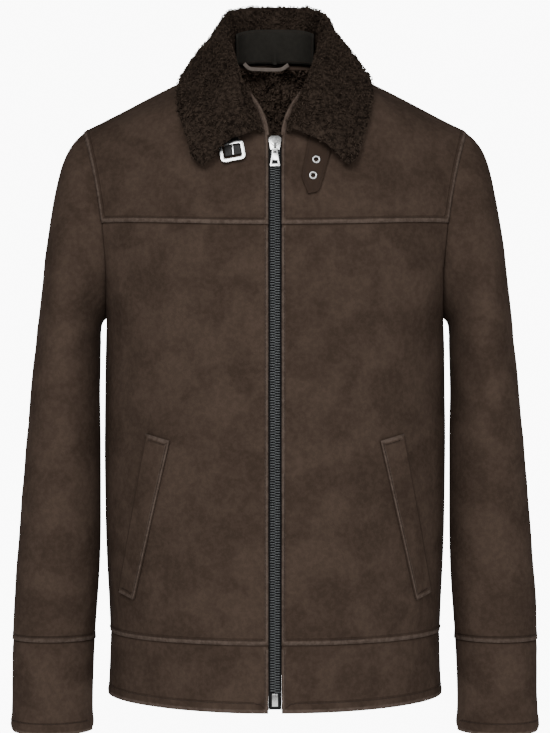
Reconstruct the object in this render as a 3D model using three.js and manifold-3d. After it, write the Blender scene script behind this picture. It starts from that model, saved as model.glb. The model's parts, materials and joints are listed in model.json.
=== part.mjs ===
// A zip-front shearling coat, filled out as if worn, in millimetres.
// +Z is up, +X is to the right of the front view, and the front faces -Y.
// The origin is between the shoulders, level with the base of the neck.
import Module from "manifold-3d";
import * as THREE from "three";
import { mergeVertices } from "three/addons/utils/BufferGeometryUtils.js";

const wasm = await Module();
wasm.setup();
const { Vector3 } = THREE;

// Driving sizes
const SKIN = 7; // suede skin with its clipped wool
const SEAM = 0.15; // each side of a seam stands back by this
const ON_TOP = 0.4; // gap under a piece that lies on a panel
const ZIP_HALF = 7.6; // half the space between the two front edges
const TAPE_DROP = 2.6; // the zip tape lies this far below the leather
const TAPE_THICK = 1.2;
const CHAIN_HALF = 5.4;
const WELT_THICK = 2.4;
const STRAP_THICK = 2.2;
const BUCKLE_STRAP_THICK = 1.6;
const OFF_BUCKLE_STRAP = 0.8;
const NECK_BAND_THICK = 1.4;
const COLUMNS = 12; // across half a front or back
const ROUND_HALF = 12; // round half a sleeve, as many as the sections along half an armhole

// Colours
const SUEDE = { color: 0x4a3d34, roughness: 0.95, metalness: 0 };
const WOOL = { color: 0x28201c, roughness: 1, metalness: 0 };
const LINING = { color: 0x21201c, roughness: 0.9, metalness: 0 };
const TAPE = { color: 0x24211f, roughness: 0.9, metalness: 0 };
const STEEL = { color: 0xb8b9ba, roughness: 0.25, metalness: 1 };
const TEETH = { color: 0x6f7678, roughness: 0.35, metalness: 1 };
const BLACK_LEATHER = { color: 0x1c1a19, roughness: 0.6, metalness: 0 };
const LOOP_CLOTH = { color: 0x6e645f, roughness: 0.9, metalness: 0 };

// The armhole is a ring of the body, and the first ring of the sleeve.
const ARMHOLE = { outX: 223, outZ: -67, inX: 197, inZ: -285, depth: 62, centreY: 2, bow: 12 };

// Sections of half a front, from the hem up. The inner end is at the zip or neckline, the outer end at the
// side seam, and above the underarm at an angle round the armhole. reach and turn are the handles of the
// curve between: reach at the inner end, turn at the outer end.
const FRONT = [
  { x: ZIP_HALF, y: -148, z: -724, reach: [108, 0, 0], sideX: 195, sideZ: -721, turn: [0, -80, 0] },
  { x: ZIP_HALF, y: -150, z: -648, reach: [108, 0, 0], sideX: 192.5, sideZ: -648, turn: [0, -82, 0] },
  { x: ZIP_HALF, y: -148, z: -540, reach: [112, 0, 0], sideX: 197.5, sideZ: -540, turn: [0, -82, 0] },
  { x: ZIP_HALF, y: -144, z: -410, reach: [114, 0, 0], sideX: 199, sideZ: -410, turn: [0, -80, 0] },
  { x: ZIP_HALF, y: -139, z: -290, reach: [110, 4, 0], armhole: 180, turn: [2, -78, 0] },
  { x: ZIP_HALF, y: -129, z: -182, reach: [84, 2, 0], armhole: 90, turn: [-36, -36, 0] },
  { x: ZIP_HALF, y: -102, z: -80, reach: [74, -14, -10], armhole: 46, turn: [-52, -34, 4] },
  { x: 36, y: -72, z: -22, reach: [60, -20, -10], armhole: 22, turn: [-54, -26, 12] },
  { x: 68, y: 2, z: 8, reach: [44, 0, -14], armhole: 0, turn: [-52, 0, 25] },
];

// Sections of half the back, from the hem up.
const BACK = [
  { x: SEAM, y: 148, z: -721, reach: [108, 0, 0], sideX: 195, sideZ: -721, turn: [0, 80, 0] },
  { x: SEAM, y: 148, z: -648, reach: [108, 0, 0], sideX: 192.5, sideZ: -648, turn: [0, 80, 0] },
  { x: SEAM, y: 142, z: -540, reach: [110, 0, 0], sideX: 197.5, sideZ: -540, turn: [0, 78, 0] },
  { x: SEAM, y: 134, z: -410, reach: [110, 0, 0], sideX: 199, sideZ: -410, turn: [0, 74, 0] },
  { x: SEAM, y: 132, z: -290, reach: [108, 4, 0], armhole: 180, turn: [2, 72, 0] },
  { x: SEAM, y: 134, z: -180, reach: [96, 4, 0], armhole: 90, turn: [-34, 38, 0] },
  { x: SEAM, y: 84, z: 22, reach: [60, 24, -14], armhole: 46, turn: [-50, 40, 8] },
  { x: 46, y: 62, z: 20, reach: [52, 24, -12], armhole: 22, turn: [-54, 30, 14] },
  { x: 68, y: 2, z: 8, reach: [44, 0, -14], armhole: 0, turn: [-52, 0, 25] },
];
const SIDE_Y = 4;
const BAND_ROW = 1;
const UNDERARM_ROW = 4;
const YOKE_ROW = 5;
const NECK_ROW = 6;
const SHOULDER_ROW = 8;

// Rings of a sleeve below the armhole: its outermost and innermost points in the front view, and its depth.
const SLEEVE = [
  ARMHOLE,
  { outX: 236, outZ: -79, inX: 199.8, inZ: -289, depth: 65, centreY: 1, bow: 10 },
  { outX: 249, outZ: -102, inX: 201.3, inZ: -292, depth: 67, centreY: 0, bow: 7 },
  { outX: 257, outZ: -138, inX: 202.2, inZ: -296, depth: 68, centreY: -1, bow: 4 },
  { outX: 264, outZ: -178, inX: 202.6, inZ: -302, depth: 68, centreY: -2, bow: 2 },
  { outX: 270, outZ: -228, inX: 202.8, inZ: -316, depth: 67, centreY: -3, bow: 1 },
  { outX: 277, outZ: -293, inX: 202.8, inZ: -346, depth: 65, centreY: -4, bow: 0 },
  { outX: 285, outZ: -366, inX: 202.4, inZ: -394, depth: 62, centreY: -5, bow: 0 },
  { outX: 292, outZ: -450, inX: 201.8, inZ: -458, depth: 58, centreY: -7, bow: 0 },
  { outX: 299, outZ: -545, inX: 201.6, inZ: -545, depth: 53, centreY: -10, bow: 0 },
  { outX: 303, outZ: -600, inX: 204.6, inZ: -600, depth: 50, centreY: -12, bow: 0 },
  { outX: 305, outZ: -656, inX: 208.4, inZ: -656, depth: 48, centreY: -14, bow: 0 },
];
const SLEEVE_STEPS = 15;

// Rings of a cuff, down to its turned edge.
const CUFF = [
  { outX: 305, outZ: -656, inX: 208.4, inZ: -656, depth: 48, centreY: -14, bow: 0 },
  { outX: 305, outZ: -700, inX: 210.4, inZ: -700, depth: 47, centreY: -14.5, bow: 0 },
  { outX: 305, outZ: -742, inX: 211.2, inZ: -742, depth: 46.5, centreY: -15, bow: 0 },
  { outX: 307, outZ: -749, inX: 209.4, inZ: -749, depth: 48.5, centreY: -15, bow: 0 },
  { outX: 307, outZ: -757, inX: 209.4, inZ: -757, depth: 48.5, centreY: -15, bow: 0 },
  { outX: 304.5, outZ: -763, inX: 212, inZ: -763, depth: 46, centreY: -15, bow: 0 },
];

// The largest folds of a sleeve: how deep, how far along and round they reach.
const SLEEVE_FOLDS = [
  { z: -352, dip: 3.2, tall: 15, angle: 250, wide: 70 },
  { z: -402, dip: 3.6, tall: 13, angle: 285, wide: 60 },
  { z: -446, dip: 3.4, tall: 14, angle: 240, wide: 65 },
  { z: -428, dip: 2.6, tall: 15, angle: 110, wide: 60 },
  { z: -506, dip: 2.4, tall: 16, angle: 270, wide: 60 },
];

// Sections of half the collar, evenly spaced from its front end round to the centre back: the inner side, top
// and outer side of its roll, its free edge, how thick it is at the roll and in the leaf, and how far the leaf
// bulges.
const COLLAR = [
  {
    inner: [12, -108, -79], top: [18, -115, -77], outer: [26, -119, -80], edge: [82, -124, -119],
    thin: 3.5, thick: 8, bulge: 8,
  },
  {
    inner: [26, -102.5, -50], top: [31, -110, -45], outer: [40, -116, -47], edge: [97, -112, -106],
    thin: 5, thick: 9, bulge: 5,
  },
  {
    inner: [36, -81.5, -18], top: [43, -91, -4], outer: [53, -97, -11], edge: [101, -86, -80],
    thin: 6, thick: 9, bulge: 4,
  },
  {
    inner: [43, -42, 10], top: [55, -46, 29], outer: [69, -50, 17], edge: [109, -48, -38],
    thin: 8, thick: 9, bulge: 3,
  },
  {
    inner: [50, -8, 36], top: [60, -8, 59], outer: [74, -9, 43], edge: [113, -6, -7],
    thin: 9, thick: 8, bulge: 3,
  },
  {
    inner: [51, 28, 56], top: [57, 36, 81], outer: [69, 46, 60], edge: [106, 46, -4],
    thin: 9, thick: 8, bulge: 3,
  },
  {
    inner: [38, 60, 68], top: [43, 76, 94], outer: [52, 96, 72], edge: [70, 102, -10],
    thin: 9, thick: 10, bulge: 2,
  },
  {
    inner: [0, 76, 72], top: [0, 93, 98], outer: [0, 115, 78], edge: [0, 136, -12],
    thin: 9, thick: 11, bulge: 2,
  },
];
const COLLAR_HALF = 17; // stations from a front end to the centre back
const COLLAR_PATH = 13; // points across the collar
const SHOULDER_SHARE = 0.6; // of the neckline's length, from the zip to the shoulder seam
const OVER_STRAPS = 5.6; // the collar clears the front by this, with the straps under it
const OVER_BODY = 4.2;
const NECK_GAP = 1.6;
const SET_BACK = 4; // the front of the collar lies this far behind the bound edge of the V
const SET_BACK_ENDS = [0.14, 0.28]; // along the neckline, where it comes forward to the edge
const STAND_GROWS = [0.26, 0.5]; // along the neckline the stand grows from nothing to its full height here

// Neck band and hanger loop
const OFF_STAND = 2.6;
const NECK_BAND_STATION = 13; // its ends are at this station of the collar
const NECK_BAND_FOOT = 0.3; // its lower edge, between the collar's first two points
const LOOP = { fromX: -37, toX: 16, dropZ: 14.5, width: 4.5, thick: 1.3 };

// Pocket welt and straps, by the left and right ends of their rows as x and z in the front view
const WELT_ROWS = [
  [[116.8, -424], [144, -416.5]],
  [[158.4, -604.3], [177.5, -597.5]],
];
const EYELET_STRAP_ROWS = [
  [[38.5, -80], [64, -89]],
  [[33.6, -105], [58.5, -114]],
  [[29.2, -129.4], [52.6, -134]],
  [[33, -139], [50.6, -141]],
  [[37, -148.4], [47.2, -146]],
];
const BUCKLE_STRAP_ROWS = [
  [[-58.5, -82], [-40.5, -79]],
  [[-56, -106.5], [-36.8, -103]],
];
const EYELETS = [
  [45.9, -110],
  [42.3, -128],
];
const EYELET = { outer: 4.9, inner: 2.3, tall: 1.1 };
const BUCKLE = { x: -47.6, z: -101.2, wide: 28, tall: 23, bar: 3.4, round: 5, thick: 2.6, tilt: 10.8 };
const PRONG = { x: -46.9, fromZ: -93.2, toZ: -105.4, wide: 1.8, thick: 1.5 };

// Slider and its pull tab, in a frame on the front edge at the hinge: z up the chain, -y off the leather
const HINGE_Z = -98.6;
const SLIDER = {
  topHalf: 6.9, footHalf: 4.9, foot: 1.2, long: 18, low: -1.9, high: 1.6, crown: 4.8, crownHigh: 4,
};
const STEM = { deep: 2.2, long: 7, off: 3.1, up: 5.2 };
const RING = { outer: 2.8, inner: 1.5, thick: 2.8, off: 4.7 };
const TAB = { topHalf: 3.4, footHalf: 5.6, long: 20.2, thick: 1.5, bar: 0.75, slotHalf: 1.8, slotLong: 4.4 };
const TAB_HOLE = { half: 3.2, from: -17.4, to: -13 };
const END_BOX = { half: 3.4, fromZ: -716, toZ: -701.6, thick: 4 };

// The slope at a row between its two steps, held down so that a curve never swings past its rows.
function slope(before, after) {
  if (before * after <= 0) return 0;
  return Math.sign(before) * Math.min(Math.abs(before + after) / 2, 3 * Math.abs(before), 3 * Math.abs(after));
}

// A table read between its rows, with smooth slopes.
function readTable(rows, position) {
  const last = rows.length - 1;
  const i = Math.min(Math.floor(position), last - 1);
  const t = position - i;
  const at = (k) => rows[Math.max(0, Math.min(last, k))];
  const smooth = (a, b, c, d) => {
    const m1 = i === 0 ? c - b : slope(b - a, c - b);
    const m2 = i === last - 1 ? c - b : slope(c - b, d - c);
    const t2 = t * t;
    const t3 = t2 * t;
    return (2 * t3 - 3 * t2 + 1) * b + (t3 - 2 * t2 + t) * m1 + (3 * t2 - 2 * t3) * c + (t3 - t2) * m2;
  };
  const out = {};
  for (const key of Object.keys(rows[i])) {
    const v = [i - 1, i, i + 1, i + 2].map((k) => at(k)[key]);
    out[key] = Array.isArray(v[1]) ? v[1].map((_, c) => smooth(...v.map((x) => x[c]))) : smooth(...v);
  }
  return out;
}

// A point of a ring, with the angle from its outermost point towards the front.
function ringPoint(ring, degrees, dip = 0) {
  const a = THREE.MathUtils.degToRad(degrees);
  const cos = Math.cos(a);
  const sin = Math.sin(a);
  const halfX = (ring.outX - ring.inX) / 2;
  const halfZ = (ring.outZ - ring.inZ) / 2;
  const shrink = 1 - dip / 60;
  return new Vector3(
    (ring.outX + ring.inX) / 2 + halfX * cos * shrink - ring.bow * sin * sin,
    ring.centreY - ring.depth * sin * shrink,
    (ring.outZ + ring.inZ) / 2 + halfZ * cos * shrink,
  );
}

// The way out of the wall at the armhole, which body and sleeve share so that their edges meet.
function armholeOut(degrees) {
  const p = ringPoint(ARMHOLE, degrees);
  const { outX, inX, outZ, inZ, centreY } = ARMHOLE;
  const centre = new Vector3((outX + inX) / 2, centreY, (outZ + inZ) / 2);
  const out = p.sub(centre).setX(0).normalize();
  return out.add(new Vector3(0.6, 0, 0)).normalize();
}

// A section of the body, with its outer end on the side seam or the armhole.
function bodySection(table, front, position) {
  const filled = table.map((row) => {
    const { armhole, sideX, sideZ, ...rest } = row;
    const degrees = armhole === undefined ? 0 : armhole;
    const end = ringPoint(ARMHOLE, front ? degrees : 360 - degrees);
    const side = armhole === undefined ? new Vector3(sideX, SIDE_Y, sideZ) : end;
    return { ...rest, degrees, end: side.toArray() };
  });
  const underarm = table.findIndex((row) => row.armhole !== undefined);
  const row = readTable(filled, position);
  if (position > underarm) {
    const upper = filled.slice(underarm);
    row.degrees = readTable(upper, position - underarm).degrees;
    row.end = ringPoint(ARMHOLE, front ? row.degrees : 360 - row.degrees).toArray();
  } else {
    row.end = readTable(filled.slice(0, underarm + 1), position).end;
    row.degrees = 180;
  }
  return row;
}

function bodyPoint(row, u) {
  const a = new Vector3(row.x, row.y, row.z);
  const d = new Vector3(...row.end);
  const b = a.clone().add(new Vector3(...row.reach));
  const c = d.clone().add(new Vector3(...row.turn));
  return new THREE.CubicBezierCurve3(a, b, c, d).getPoint(u);
}

function bodyGrid(table, front, from, to, steps, columns) {
  const grid = [];
  for (let i = 0; i <= steps; i += 1) {
    const row = bodySection(table, front, from + ((to - from) * i) / steps);
    grid.push(Array.from({ length: columns + 1 }, (_, j) => bodyPoint(row, j / columns)));
  }
  return grid;
}

// Unit vectors out of a sheet, from the points on each side of every point.
function gridNormals(grid, sign) {
  const rows = grid.length;
  const columns = grid[0].length;
  return grid.map((line, i) =>
    line.map((_, j) => {
      const along = grid[i][Math.min(j + 1, columns - 1)].clone().sub(grid[i][Math.max(j - 1, 0)]);
      const up = grid[Math.min(i + 1, rows - 1)][j].clone().sub(grid[Math.max(i - 1, 0)][j]);
      return along.cross(up).normalize().multiplyScalar(sign);
    }),
  );
}

// Stands the four edges of a sheet back from its seams.
function trimmed(grid, gap) {
  const rows = grid.length - 1;
  const columns = grid[0].length - 1;
  const move = (from, to) => from.clone().add(to.clone().sub(from).setLength(gap));
  const out = grid.map((line) => line.map((p) => p.clone()));
  for (let i = 0; i <= rows; i += 1) {
    out[i][0] = move(out[i][0], out[i][1]);
    out[i][columns] = move(out[i][columns], out[i][columns - 1]);
  }
  for (let j = 0; j <= columns; j += 1) {
    out[0][j] = move(out[0][j], out[1][j]);
    out[rows][j] = move(out[rows][j], out[rows - 1][j]);
  }
  return out;
}

// A closed solid between two sheets with the same rows and columns.
function solidBetween(face, back) {
  const rows = face.length;
  const columns = face[0].length;
  const points = [...face.flat(), ...back.flat()];
  const half = rows * columns;
  const triangles = [];
  const quad = (a, b, c, d) => triangles.push([a, b, c], [a, c, d]);
  const at = (i, j) => i * columns + j;
  const across = columns - 1;
  for (let i = 0; i < rows - 1; i += 1) {
    for (let j = 0; j < across; j += 1) {
      quad(at(i, j), at(i, j + 1), at(i + 1, j + 1), at(i + 1, j));
      quad(half + at(i + 1, j), half + at(i + 1, j + 1), half + at(i, j + 1), half + at(i, j));
    }
  }
  for (let j = 0; j < across; j += 1) {
    quad(at(0, j + 1), at(0, j), half + at(0, j), half + at(0, j + 1));
    quad(at(rows - 1, j), at(rows - 1, j + 1), half + at(rows - 1, j + 1), half + at(rows - 1, j));
  }
  for (let i = 0; i < rows - 1; i += 1) {
    quad(at(i, 0), at(i + 1, 0), half + at(i + 1, 0), half + at(i, 0));
    quad(at(i + 1, across), at(i, across), half + at(i, across), half + at(i + 1, across));
  }
  let volume = 0;
  for (const [a, b, c] of triangles) {
    volume += points[a].dot(points[b].clone().cross(points[c]));
  }
  const geometry = new THREE.BufferGeometry();
  geometry.setFromPoints(points);
  geometry.setIndex(triangles.flatMap(([a, b, c]) => (volume > 0 ? [a, b, c] : [a, c, b])));
  geometry.computeVertexNormals();
  return geometry;
}

const coat = new THREE.Group();

function addPiece(name, geometry, look) {
  const mesh = new THREE.Mesh(geometry, new THREE.MeshStandardMaterial(look));
  mesh.name = name;
  coat.add(mesh);
  return mesh;
}

function mirrored(grid, side) {
  return grid.map((line) => line.map((p) => new Vector3(p.x * side, p.y, p.z)));
}

function offset(grid, normals, distance) {
  return grid.map((line, i) => line.map((p, j) => p.clone().addScaledVector(normals[i][j], distance)));
}

// Unit vectors out of the body, the same for the panels on both sides of a seam.
function bodyNormal(table, front, position, u) {
  const step = 0.02;
  const point = (t, v) => bodyPoint(bodySection(table, front, t), v);
  const low = Math.max(0, position - step);
  const high = Math.min(SHOULDER_ROW, position + step);
  const row = bodySection(table, front, position);
  if (u === 1) {
    if (position < UNDERARM_ROW) return new Vector3(1, 0, 0);
    return armholeOut(front ? row.degrees : 360 - row.degrees);
  }
  const along = point(position, u + step).sub(point(position, Math.max(0, u - step)));
  if (position === SHOULDER_ROW) return new Vector3(-along.z, 0, along.x).normalize();
  const up = point(high, u).sub(point(low, u));
  const normal = along.cross(up).multiplyScalar(front ? 1 : -1);
  if (u === 0 && row.x < ZIP_HALF + 1) normal.setX(0);
  return normal.normalize();
}

// A panel of the body between two of its sections.
function addBodyPanel(name, side, table, front, from, to, steps) {
  const grid = bodyGrid(table, front, from, to, steps, COLUMNS);
  const normals = grid.map((line, i) =>
    line.map((_, j) => bodyNormal(table, front, from + ((to - from) * i) / steps, j / COLUMNS)),
  );
  const face = trimmed(grid, SEAM);
  const back = trimmed(offset(grid, normals, -SKIN), SEAM);
  addPiece(name, solidBetween(mirrored(face, side), mirrored(back, side)), SUEDE);
}

// How far the folds push a sleeve in at a place.
function foldDip(z, degrees) {
  let dip = 0;
  for (const fold of SLEEVE_FOLDS) {
    const dz = (z - fold.z) / fold.tall;
    const da = (((degrees - fold.angle + 540) % 360) - 180) / fold.wide;
    dip += fold.dip * Math.exp(-dz * dz - da * da);
  }
  return dip;
}

// The angles round a sleeve, which are those of the body's sections where they end on the armhole.
const ROUND_ANGLES = [];
for (let k = 0; k <= ROUND_HALF; k += 1) {
  const position = UNDERARM_ROW + (k * (SHOULDER_ROW - UNDERARM_ROW)) / ROUND_HALF;
  const { degrees } = bodySection(FRONT, true, position);
  ROUND_ANGLES[k] = 360 - degrees;
  ROUND_ANGLES[2 * ROUND_HALF - k] = 360 + degrees;
}

// A tube through rings, with its seam under the arm at the innermost point.
function addTube(name, side, rings, count, shareArmhole) {
  const last = ROUND_ANGLES.length - 1;
  const grid = [];
  for (let i = 0; i <= count; i += 1) {
    const ring = readTable(rings, (i * (rings.length - 1)) / count);
    const z = (ring.outZ + ring.inZ) / 2;
    const folded = i > 2 && i < count;
    grid.push(ROUND_ANGLES.map((degrees) => ringPoint(ring, degrees, folded ? foldDip(z, degrees) : 0)));
  }
  const normals = gridNormals(grid, 1);
  for (let i = 0; i <= count; i += 1) {
    const under = normals[i][0].clone().add(normals[i][last]).normalize();
    normals[i][0] = under;
    normals[i][last] = under;
  }
  for (let j = 0; j <= last; j += 1) {
    if (shareArmhole) normals[0][j] = armholeOut(ROUND_ANGLES[j]);
    else normals[0][j].setZ(0).normalize();
    normals[count][j].setZ(0).normalize();
  }
  const face = trimmed(grid, SEAM);
  const back = trimmed(offset(grid, normals, -SKIN), SEAM);
  addPiece(name, solidBetween(mirrored(face, side), mirrored(back, side)), SUEDE);
}

// The outside of the body as a cloud of points with normals, to lay other pieces on.
const skinPoints = [];
for (const [table, front] of [
  [FRONT, true],
  [BACK, false],
]) {
  const grid = bodyGrid(table, front, 4, SHOULDER_ROW, 48, 48);
  const normals = gridNormals(grid, front ? 1 : -1);
  grid.forEach((line, i) => line.forEach((p, j) => skinPoints.push({ p, n: normals[i][j] })));
}

// Moves a point out of the body until it is clear of the skin.
function clearOfSkin(point, clearance) {
  const p = point.clone();
  for (let pass = 0; pass < 3; pass += 1) {
    let best = Infinity;
    let near = null;
    for (const s of skinPoints) {
      const d = s.p.distanceToSquared(p);
      if (d < best) {
        best = d;
        near = s;
      }
    }
    const height = p.clone().sub(near.p).dot(near.n);
    if (height < clearance) p.addScaledVector(near.n, clearance - height);
  }
  return p;
}

// The point of the front that shows at x and z in a level front view, and its normal.
function frontPoint(x, z) {
  const point = (u, t) => bodyPoint(bodySection(FRONT, true, t), u);
  let u = Math.min(1, Math.abs(x) / 200);
  let t = 3;
  for (let pass = 0; pass < 14; pass += 1) {
    const step = 0.002;
    const p = point(u, t);
    const pu = point(u + step, t).sub(p).divideScalar(step);
    const pt = point(u, t + step).sub(p).divideScalar(step);
    const dx = x - p.x;
    const dz = z - p.z;
    const det = pu.x * pt.z - pt.x * pu.z;
    u = THREE.MathUtils.clamp(u + (dx * pt.z - pt.x * dz) / det, 0, 0.95);
    t = THREE.MathUtils.clamp(t + (pu.x * dz - dx * pu.z) / det, 0, 7.9);
  }
  const step = 0.01;
  const p = point(u, t);
  const n = point(u + step, t).sub(p).cross(point(u, t + step).sub(p)).normalize();
  return { p, n };
}

// A flat piece sewn on the front: a grid of x and z places, lifted off the panel.
function addPatch(name, side, places, thick, look, lift = ON_TOP) {
  const lay = (height) =>
    places.map((line) =>
      line.map(([x, z]) => {
        const at = frontPoint(x, z);
        return at.p.addScaledVector(at.n, height);
      }),
    );
  const face = mirrored(lay(lift + thick), side);
  const back = mirrored(lay(lift), side);
  addPiece(name, solidBetween(face, back), look);
}

// The neckline's place on a seam of the body, from the zip at 0 to the centre back at 1.
function neckEdge(share) {
  const front = share < SHOULDER_SHARE;
  const span = SHOULDER_ROW - NECK_ROW;
  const position = front
    ? NECK_ROW + (span * share) / SHOULDER_SHARE
    : SHOULDER_ROW - (span * (share - SHOULDER_SHARE)) / (1 - SHOULDER_SHARE);
  const table = front ? FRONT : BACK;
  const row = bodySection(table, front, position);
  const away = new Vector3(...row.reach).normalize().negate();
  const gap = THREE.MathUtils.lerp(-SET_BACK, NECK_GAP, THREE.MathUtils.smoothstep(share, ...SET_BACK_ENDS));
  const outside = new Vector3(row.x, row.y, row.z).addScaledVector(away, gap);
  const normal = bodyNormal(table, front, position, 0);
  return { outside, inside: outside.clone().addScaledVector(normal, -SKIN), away, normal };
}

// Keeps a point of the collar off the neck edge of the body, unless it is above the skin.
function offNeckEdge(point, share, space) {
  const { outside, away, normal } = neckEdge(share);
  const v = point.clone().sub(outside);
  const short = space - v.dot(away);
  return v.dot(normal) < space && short > 0 ? point.clone().addScaledVector(away, short) : point;
}

// A section of half the collar, from its front end at 0 to the centre back at 1.
function collarRow(share) {
  const { thin, thick, bulge, ...places } = COLLAR[COLLAR.length - 2];
  const pastMiddle = { thin, thick, bulge };
  for (const [key, [x, y, z]] of Object.entries(places)) pastMiddle[key] = [-x, y, z];
  return readTable([...COLLAR, pastMiddle], share * (COLLAR.length - 1));
}

// The woolly face of half the collar, across it from the neck seam over the roll to the free edge.
function collarFace(share, across) {
  const row = collarRow(share);
  const [inner, top, outer, edge] = [row.inner, row.top, row.outer, row.edge].map((p) => new Vector3(...p));
  const bulge = outer.clone().sub(inner).normalize().add(new Vector3(0, 0, 1)).setLength(row.bulge);
  const middle = outer.clone().lerp(edge, 0.5).add(bulge);
  const { outside, inside, normal } = neckEdge(share);
  const start = outside.clone().addScaledVector(normal, row.thin + 0.6);
  start.lerp(inside, THREE.MathUtils.smoothstep(share, ...STAND_GROWS));
  const path = new THREE.CatmullRomCurve3([start, inner, top, outer, middle, edge]);
  return path.getPoint(across);
}

function makeCollar() {
  const face = [];
  for (let i = 0; i <= COLLAR_HALF; i += 1) {
    face.push(
      Array.from({ length: COLLAR_PATH }, (_, j) => collarFace(i / COLLAR_HALF, j / (COLLAR_PATH - 1))),
    );
  }
  const normals = gridNormals(face, 1);
  for (const n of normals[COLLAR_HALF]) n.setX(0).normalize();
  const under = face.map((line, i) => {
    const share = i / COLLAR_HALF;
    const row = collarRow(share);
    return line.map((p, j) => {
      const across = j / (COLLAR_PATH - 1);
      if (j === 0) {
        const { outside, normal } = neckEdge(share);
        const low = 0.6 * (1 - THREE.MathUtils.smoothstep(share, ...STAND_GROWS));
        return outside.clone().addScaledVector(normal, low);
      }
      const leaf = THREE.MathUtils.smoothstep(across, 0.55, 0.8);
      const end = across === 1 ? 0.55 : 1;
      const thick = THREE.MathUtils.lerp(row.thin, row.thick, leaf) * end;
      const clearance = share < 0.4 ? OVER_STRAPS : OVER_BODY;
      if (across > 0.5) p.copy(clearOfSkin(p, clearance + thick * 0.92));
      else p.copy(offNeckEdge(p, share, row.thin * 0.6));
      const q = p.clone().addScaledVector(normals[i][j], -thick);
      if (across > 0.5) return clearOfSkin(q, clearance);
      const above = share > SHOULDER_SHARE || share < SET_BACK_ENDS[1];
      return above ? clearOfSkin(q, NECK_GAP) : offNeckEdge(q, share, 0);
    });
  });
  for (const grid of [face, under]) {
    for (const p of grid[COLLAR_HALF]) p.setX(0);
  }
  const whole = (half) => [...half, ...mirrored(half, -1).slice(0, -1).reverse()];
  addPiece("collar", solidBetween(whole(face), whole(under)), WOOL);
  return face;
}

// The smooth band inside the collar's stand, made from the collar's points, moved in towards the neck.
function makeNeckBand(collar) {
  const half = collar.slice(NECK_BAND_STATION).map((line) => [
    line[0].clone().lerp(line[1], NECK_BAND_FOOT),
    line[1].clone(),
    line[2].clone(),
  ]);
  const grid = [...half, ...mirrored(half, -1).slice(0, -1).reverse()];
  const normals = gridNormals(grid, 1);
  const face = offset(grid, normals, OFF_STAND + NECK_BAND_THICK);
  addPiece("neck_band", solidBetween(face, offset(grid, normals, OFF_STAND)), LINING);
}

// A flat ribbon swept along a path.
function ribbon(points, width, thick, steps) {
  const section = new THREE.Shape();
  section.moveTo(-width / 2, -thick / 2);
  section.lineTo(width / 2, -thick / 2);
  section.lineTo(width / 2, thick / 2);
  section.lineTo(-width / 2, thick / 2);
  const extrudePath = new THREE.CatmullRomCurve3(points, false, "centripetal");
  return new THREE.ExtrudeGeometry(section, { extrudePath, steps, bevelEnabled: false });
}

function makeHangerLoop() {
  const { fromX, toX, dropZ, width, thick } = LOOP;
  const place = (x, y, z) => new Vector3(x, y, z);
  const points = [
    place(fromX, 55.5, 21),
    place(fromX + 6, 56.5, dropZ + 0.6),
    place(fromX + 16, 59, dropZ),
    place(toX - 18, 63, dropZ),
    place(toX - 8, 64, dropZ + 0.6),
    place(toX, 66.6, 21),
  ];
  addPiece("hanger_loop", ribbon(points, thick, width, 14), LOOP_CLOTH);
}

// A strip along the zip between two distances from the middle, at heights above the leather.
function zipStrip(name, xs, fromPosition, toPosition, high, low, steps, look) {
  const lay = (height) => {
    const grid = [];
    for (let i = 0; i <= steps; i += 1) {
      const position = fromPosition + ((toPosition - fromPosition) * i) / steps;
      const row = bodySection(FRONT, true, position);
      const n = bodyNormal(FRONT, true, position, 0);
      grid.push(xs.map((x) => new Vector3(x, row.y, row.z).addScaledVector(n, height)));
    }
    return grid;
  };
  addPiece(name, solidBetween(lay(high), lay(low)), look);
}

// The place of a height on the zip, as a position in the table of sections.
function zipPosition(z) {
  let low = 0;
  let high = NECK_ROW;
  for (let pass = 0; pass < 30; pass += 1) {
    const middle = (low + high) / 2;
    if (bodySection(FRONT, true, middle).z < z) low = middle;
    else high = middle;
  }
  return low;
}

// Solids for cutting and joining
function toSolid(geometry) {
  const bare = geometry.clone();
  bare.deleteAttribute("normal");
  bare.deleteAttribute("uv");
  const merged = mergeVertices(bare, 1e-4);
  const vertProperties = new Float32Array(merged.attributes.position.array);
  const triVerts = new Uint32Array(merged.index.array);
  return new wasm.Manifold(new wasm.Mesh({ numProp: 3, vertProperties, triVerts }));
}

function fromSolid(solid) {
  const mesh = solid.getMesh();
  const geometry = new THREE.BufferGeometry();
  geometry.setAttribute("position", new THREE.BufferAttribute(new Float32Array(mesh.vertProperties), 3));
  geometry.setIndex(new THREE.BufferAttribute(new Uint32Array(mesh.triVerts), 1));
  geometry.computeVertexNormals();
  return geometry;
}

// A plate standing on the leather: its outline in x and z, its faces at heights off the leather.
function plate(shape, low, high) {
  const settings = { depth: high - low, bevelEnabled: false, curveSegments: 6 };
  const geometry = new THREE.ExtrudeGeometry(shape, settings);
  geometry.rotateX(Math.PI / 2);
  geometry.translate(0, -low, 0);
  return geometry;
}

function polygon(points) {
  return new THREE.Shape(points.map(([x, z]) => new THREE.Vector2(x, z)));
}

// A frame that lies on the front at a place, with -y off the leather and z up it.
function frameOnFront(x, z, turn = 0) {
  const { p, n } = frontPoint(Math.abs(x), z);
  const out = new Vector3(n.x * Math.sign(x), n.y, n.z).normalize();
  const up = new Vector3(0, 0, 1).addScaledVector(out, -out.z).normalize();
  const inward = out.clone().negate();
  const basis = new THREE.Matrix4().makeBasis(inward.clone().cross(up), inward, up);
  const group = new THREE.Group();
  group.quaternion.setFromRotationMatrix(basis);
  group.rotateY(THREE.MathUtils.degToRad(turn));
  group.position.set(x, p.y, p.z);
  coat.add(group);
  return group;
}

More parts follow.
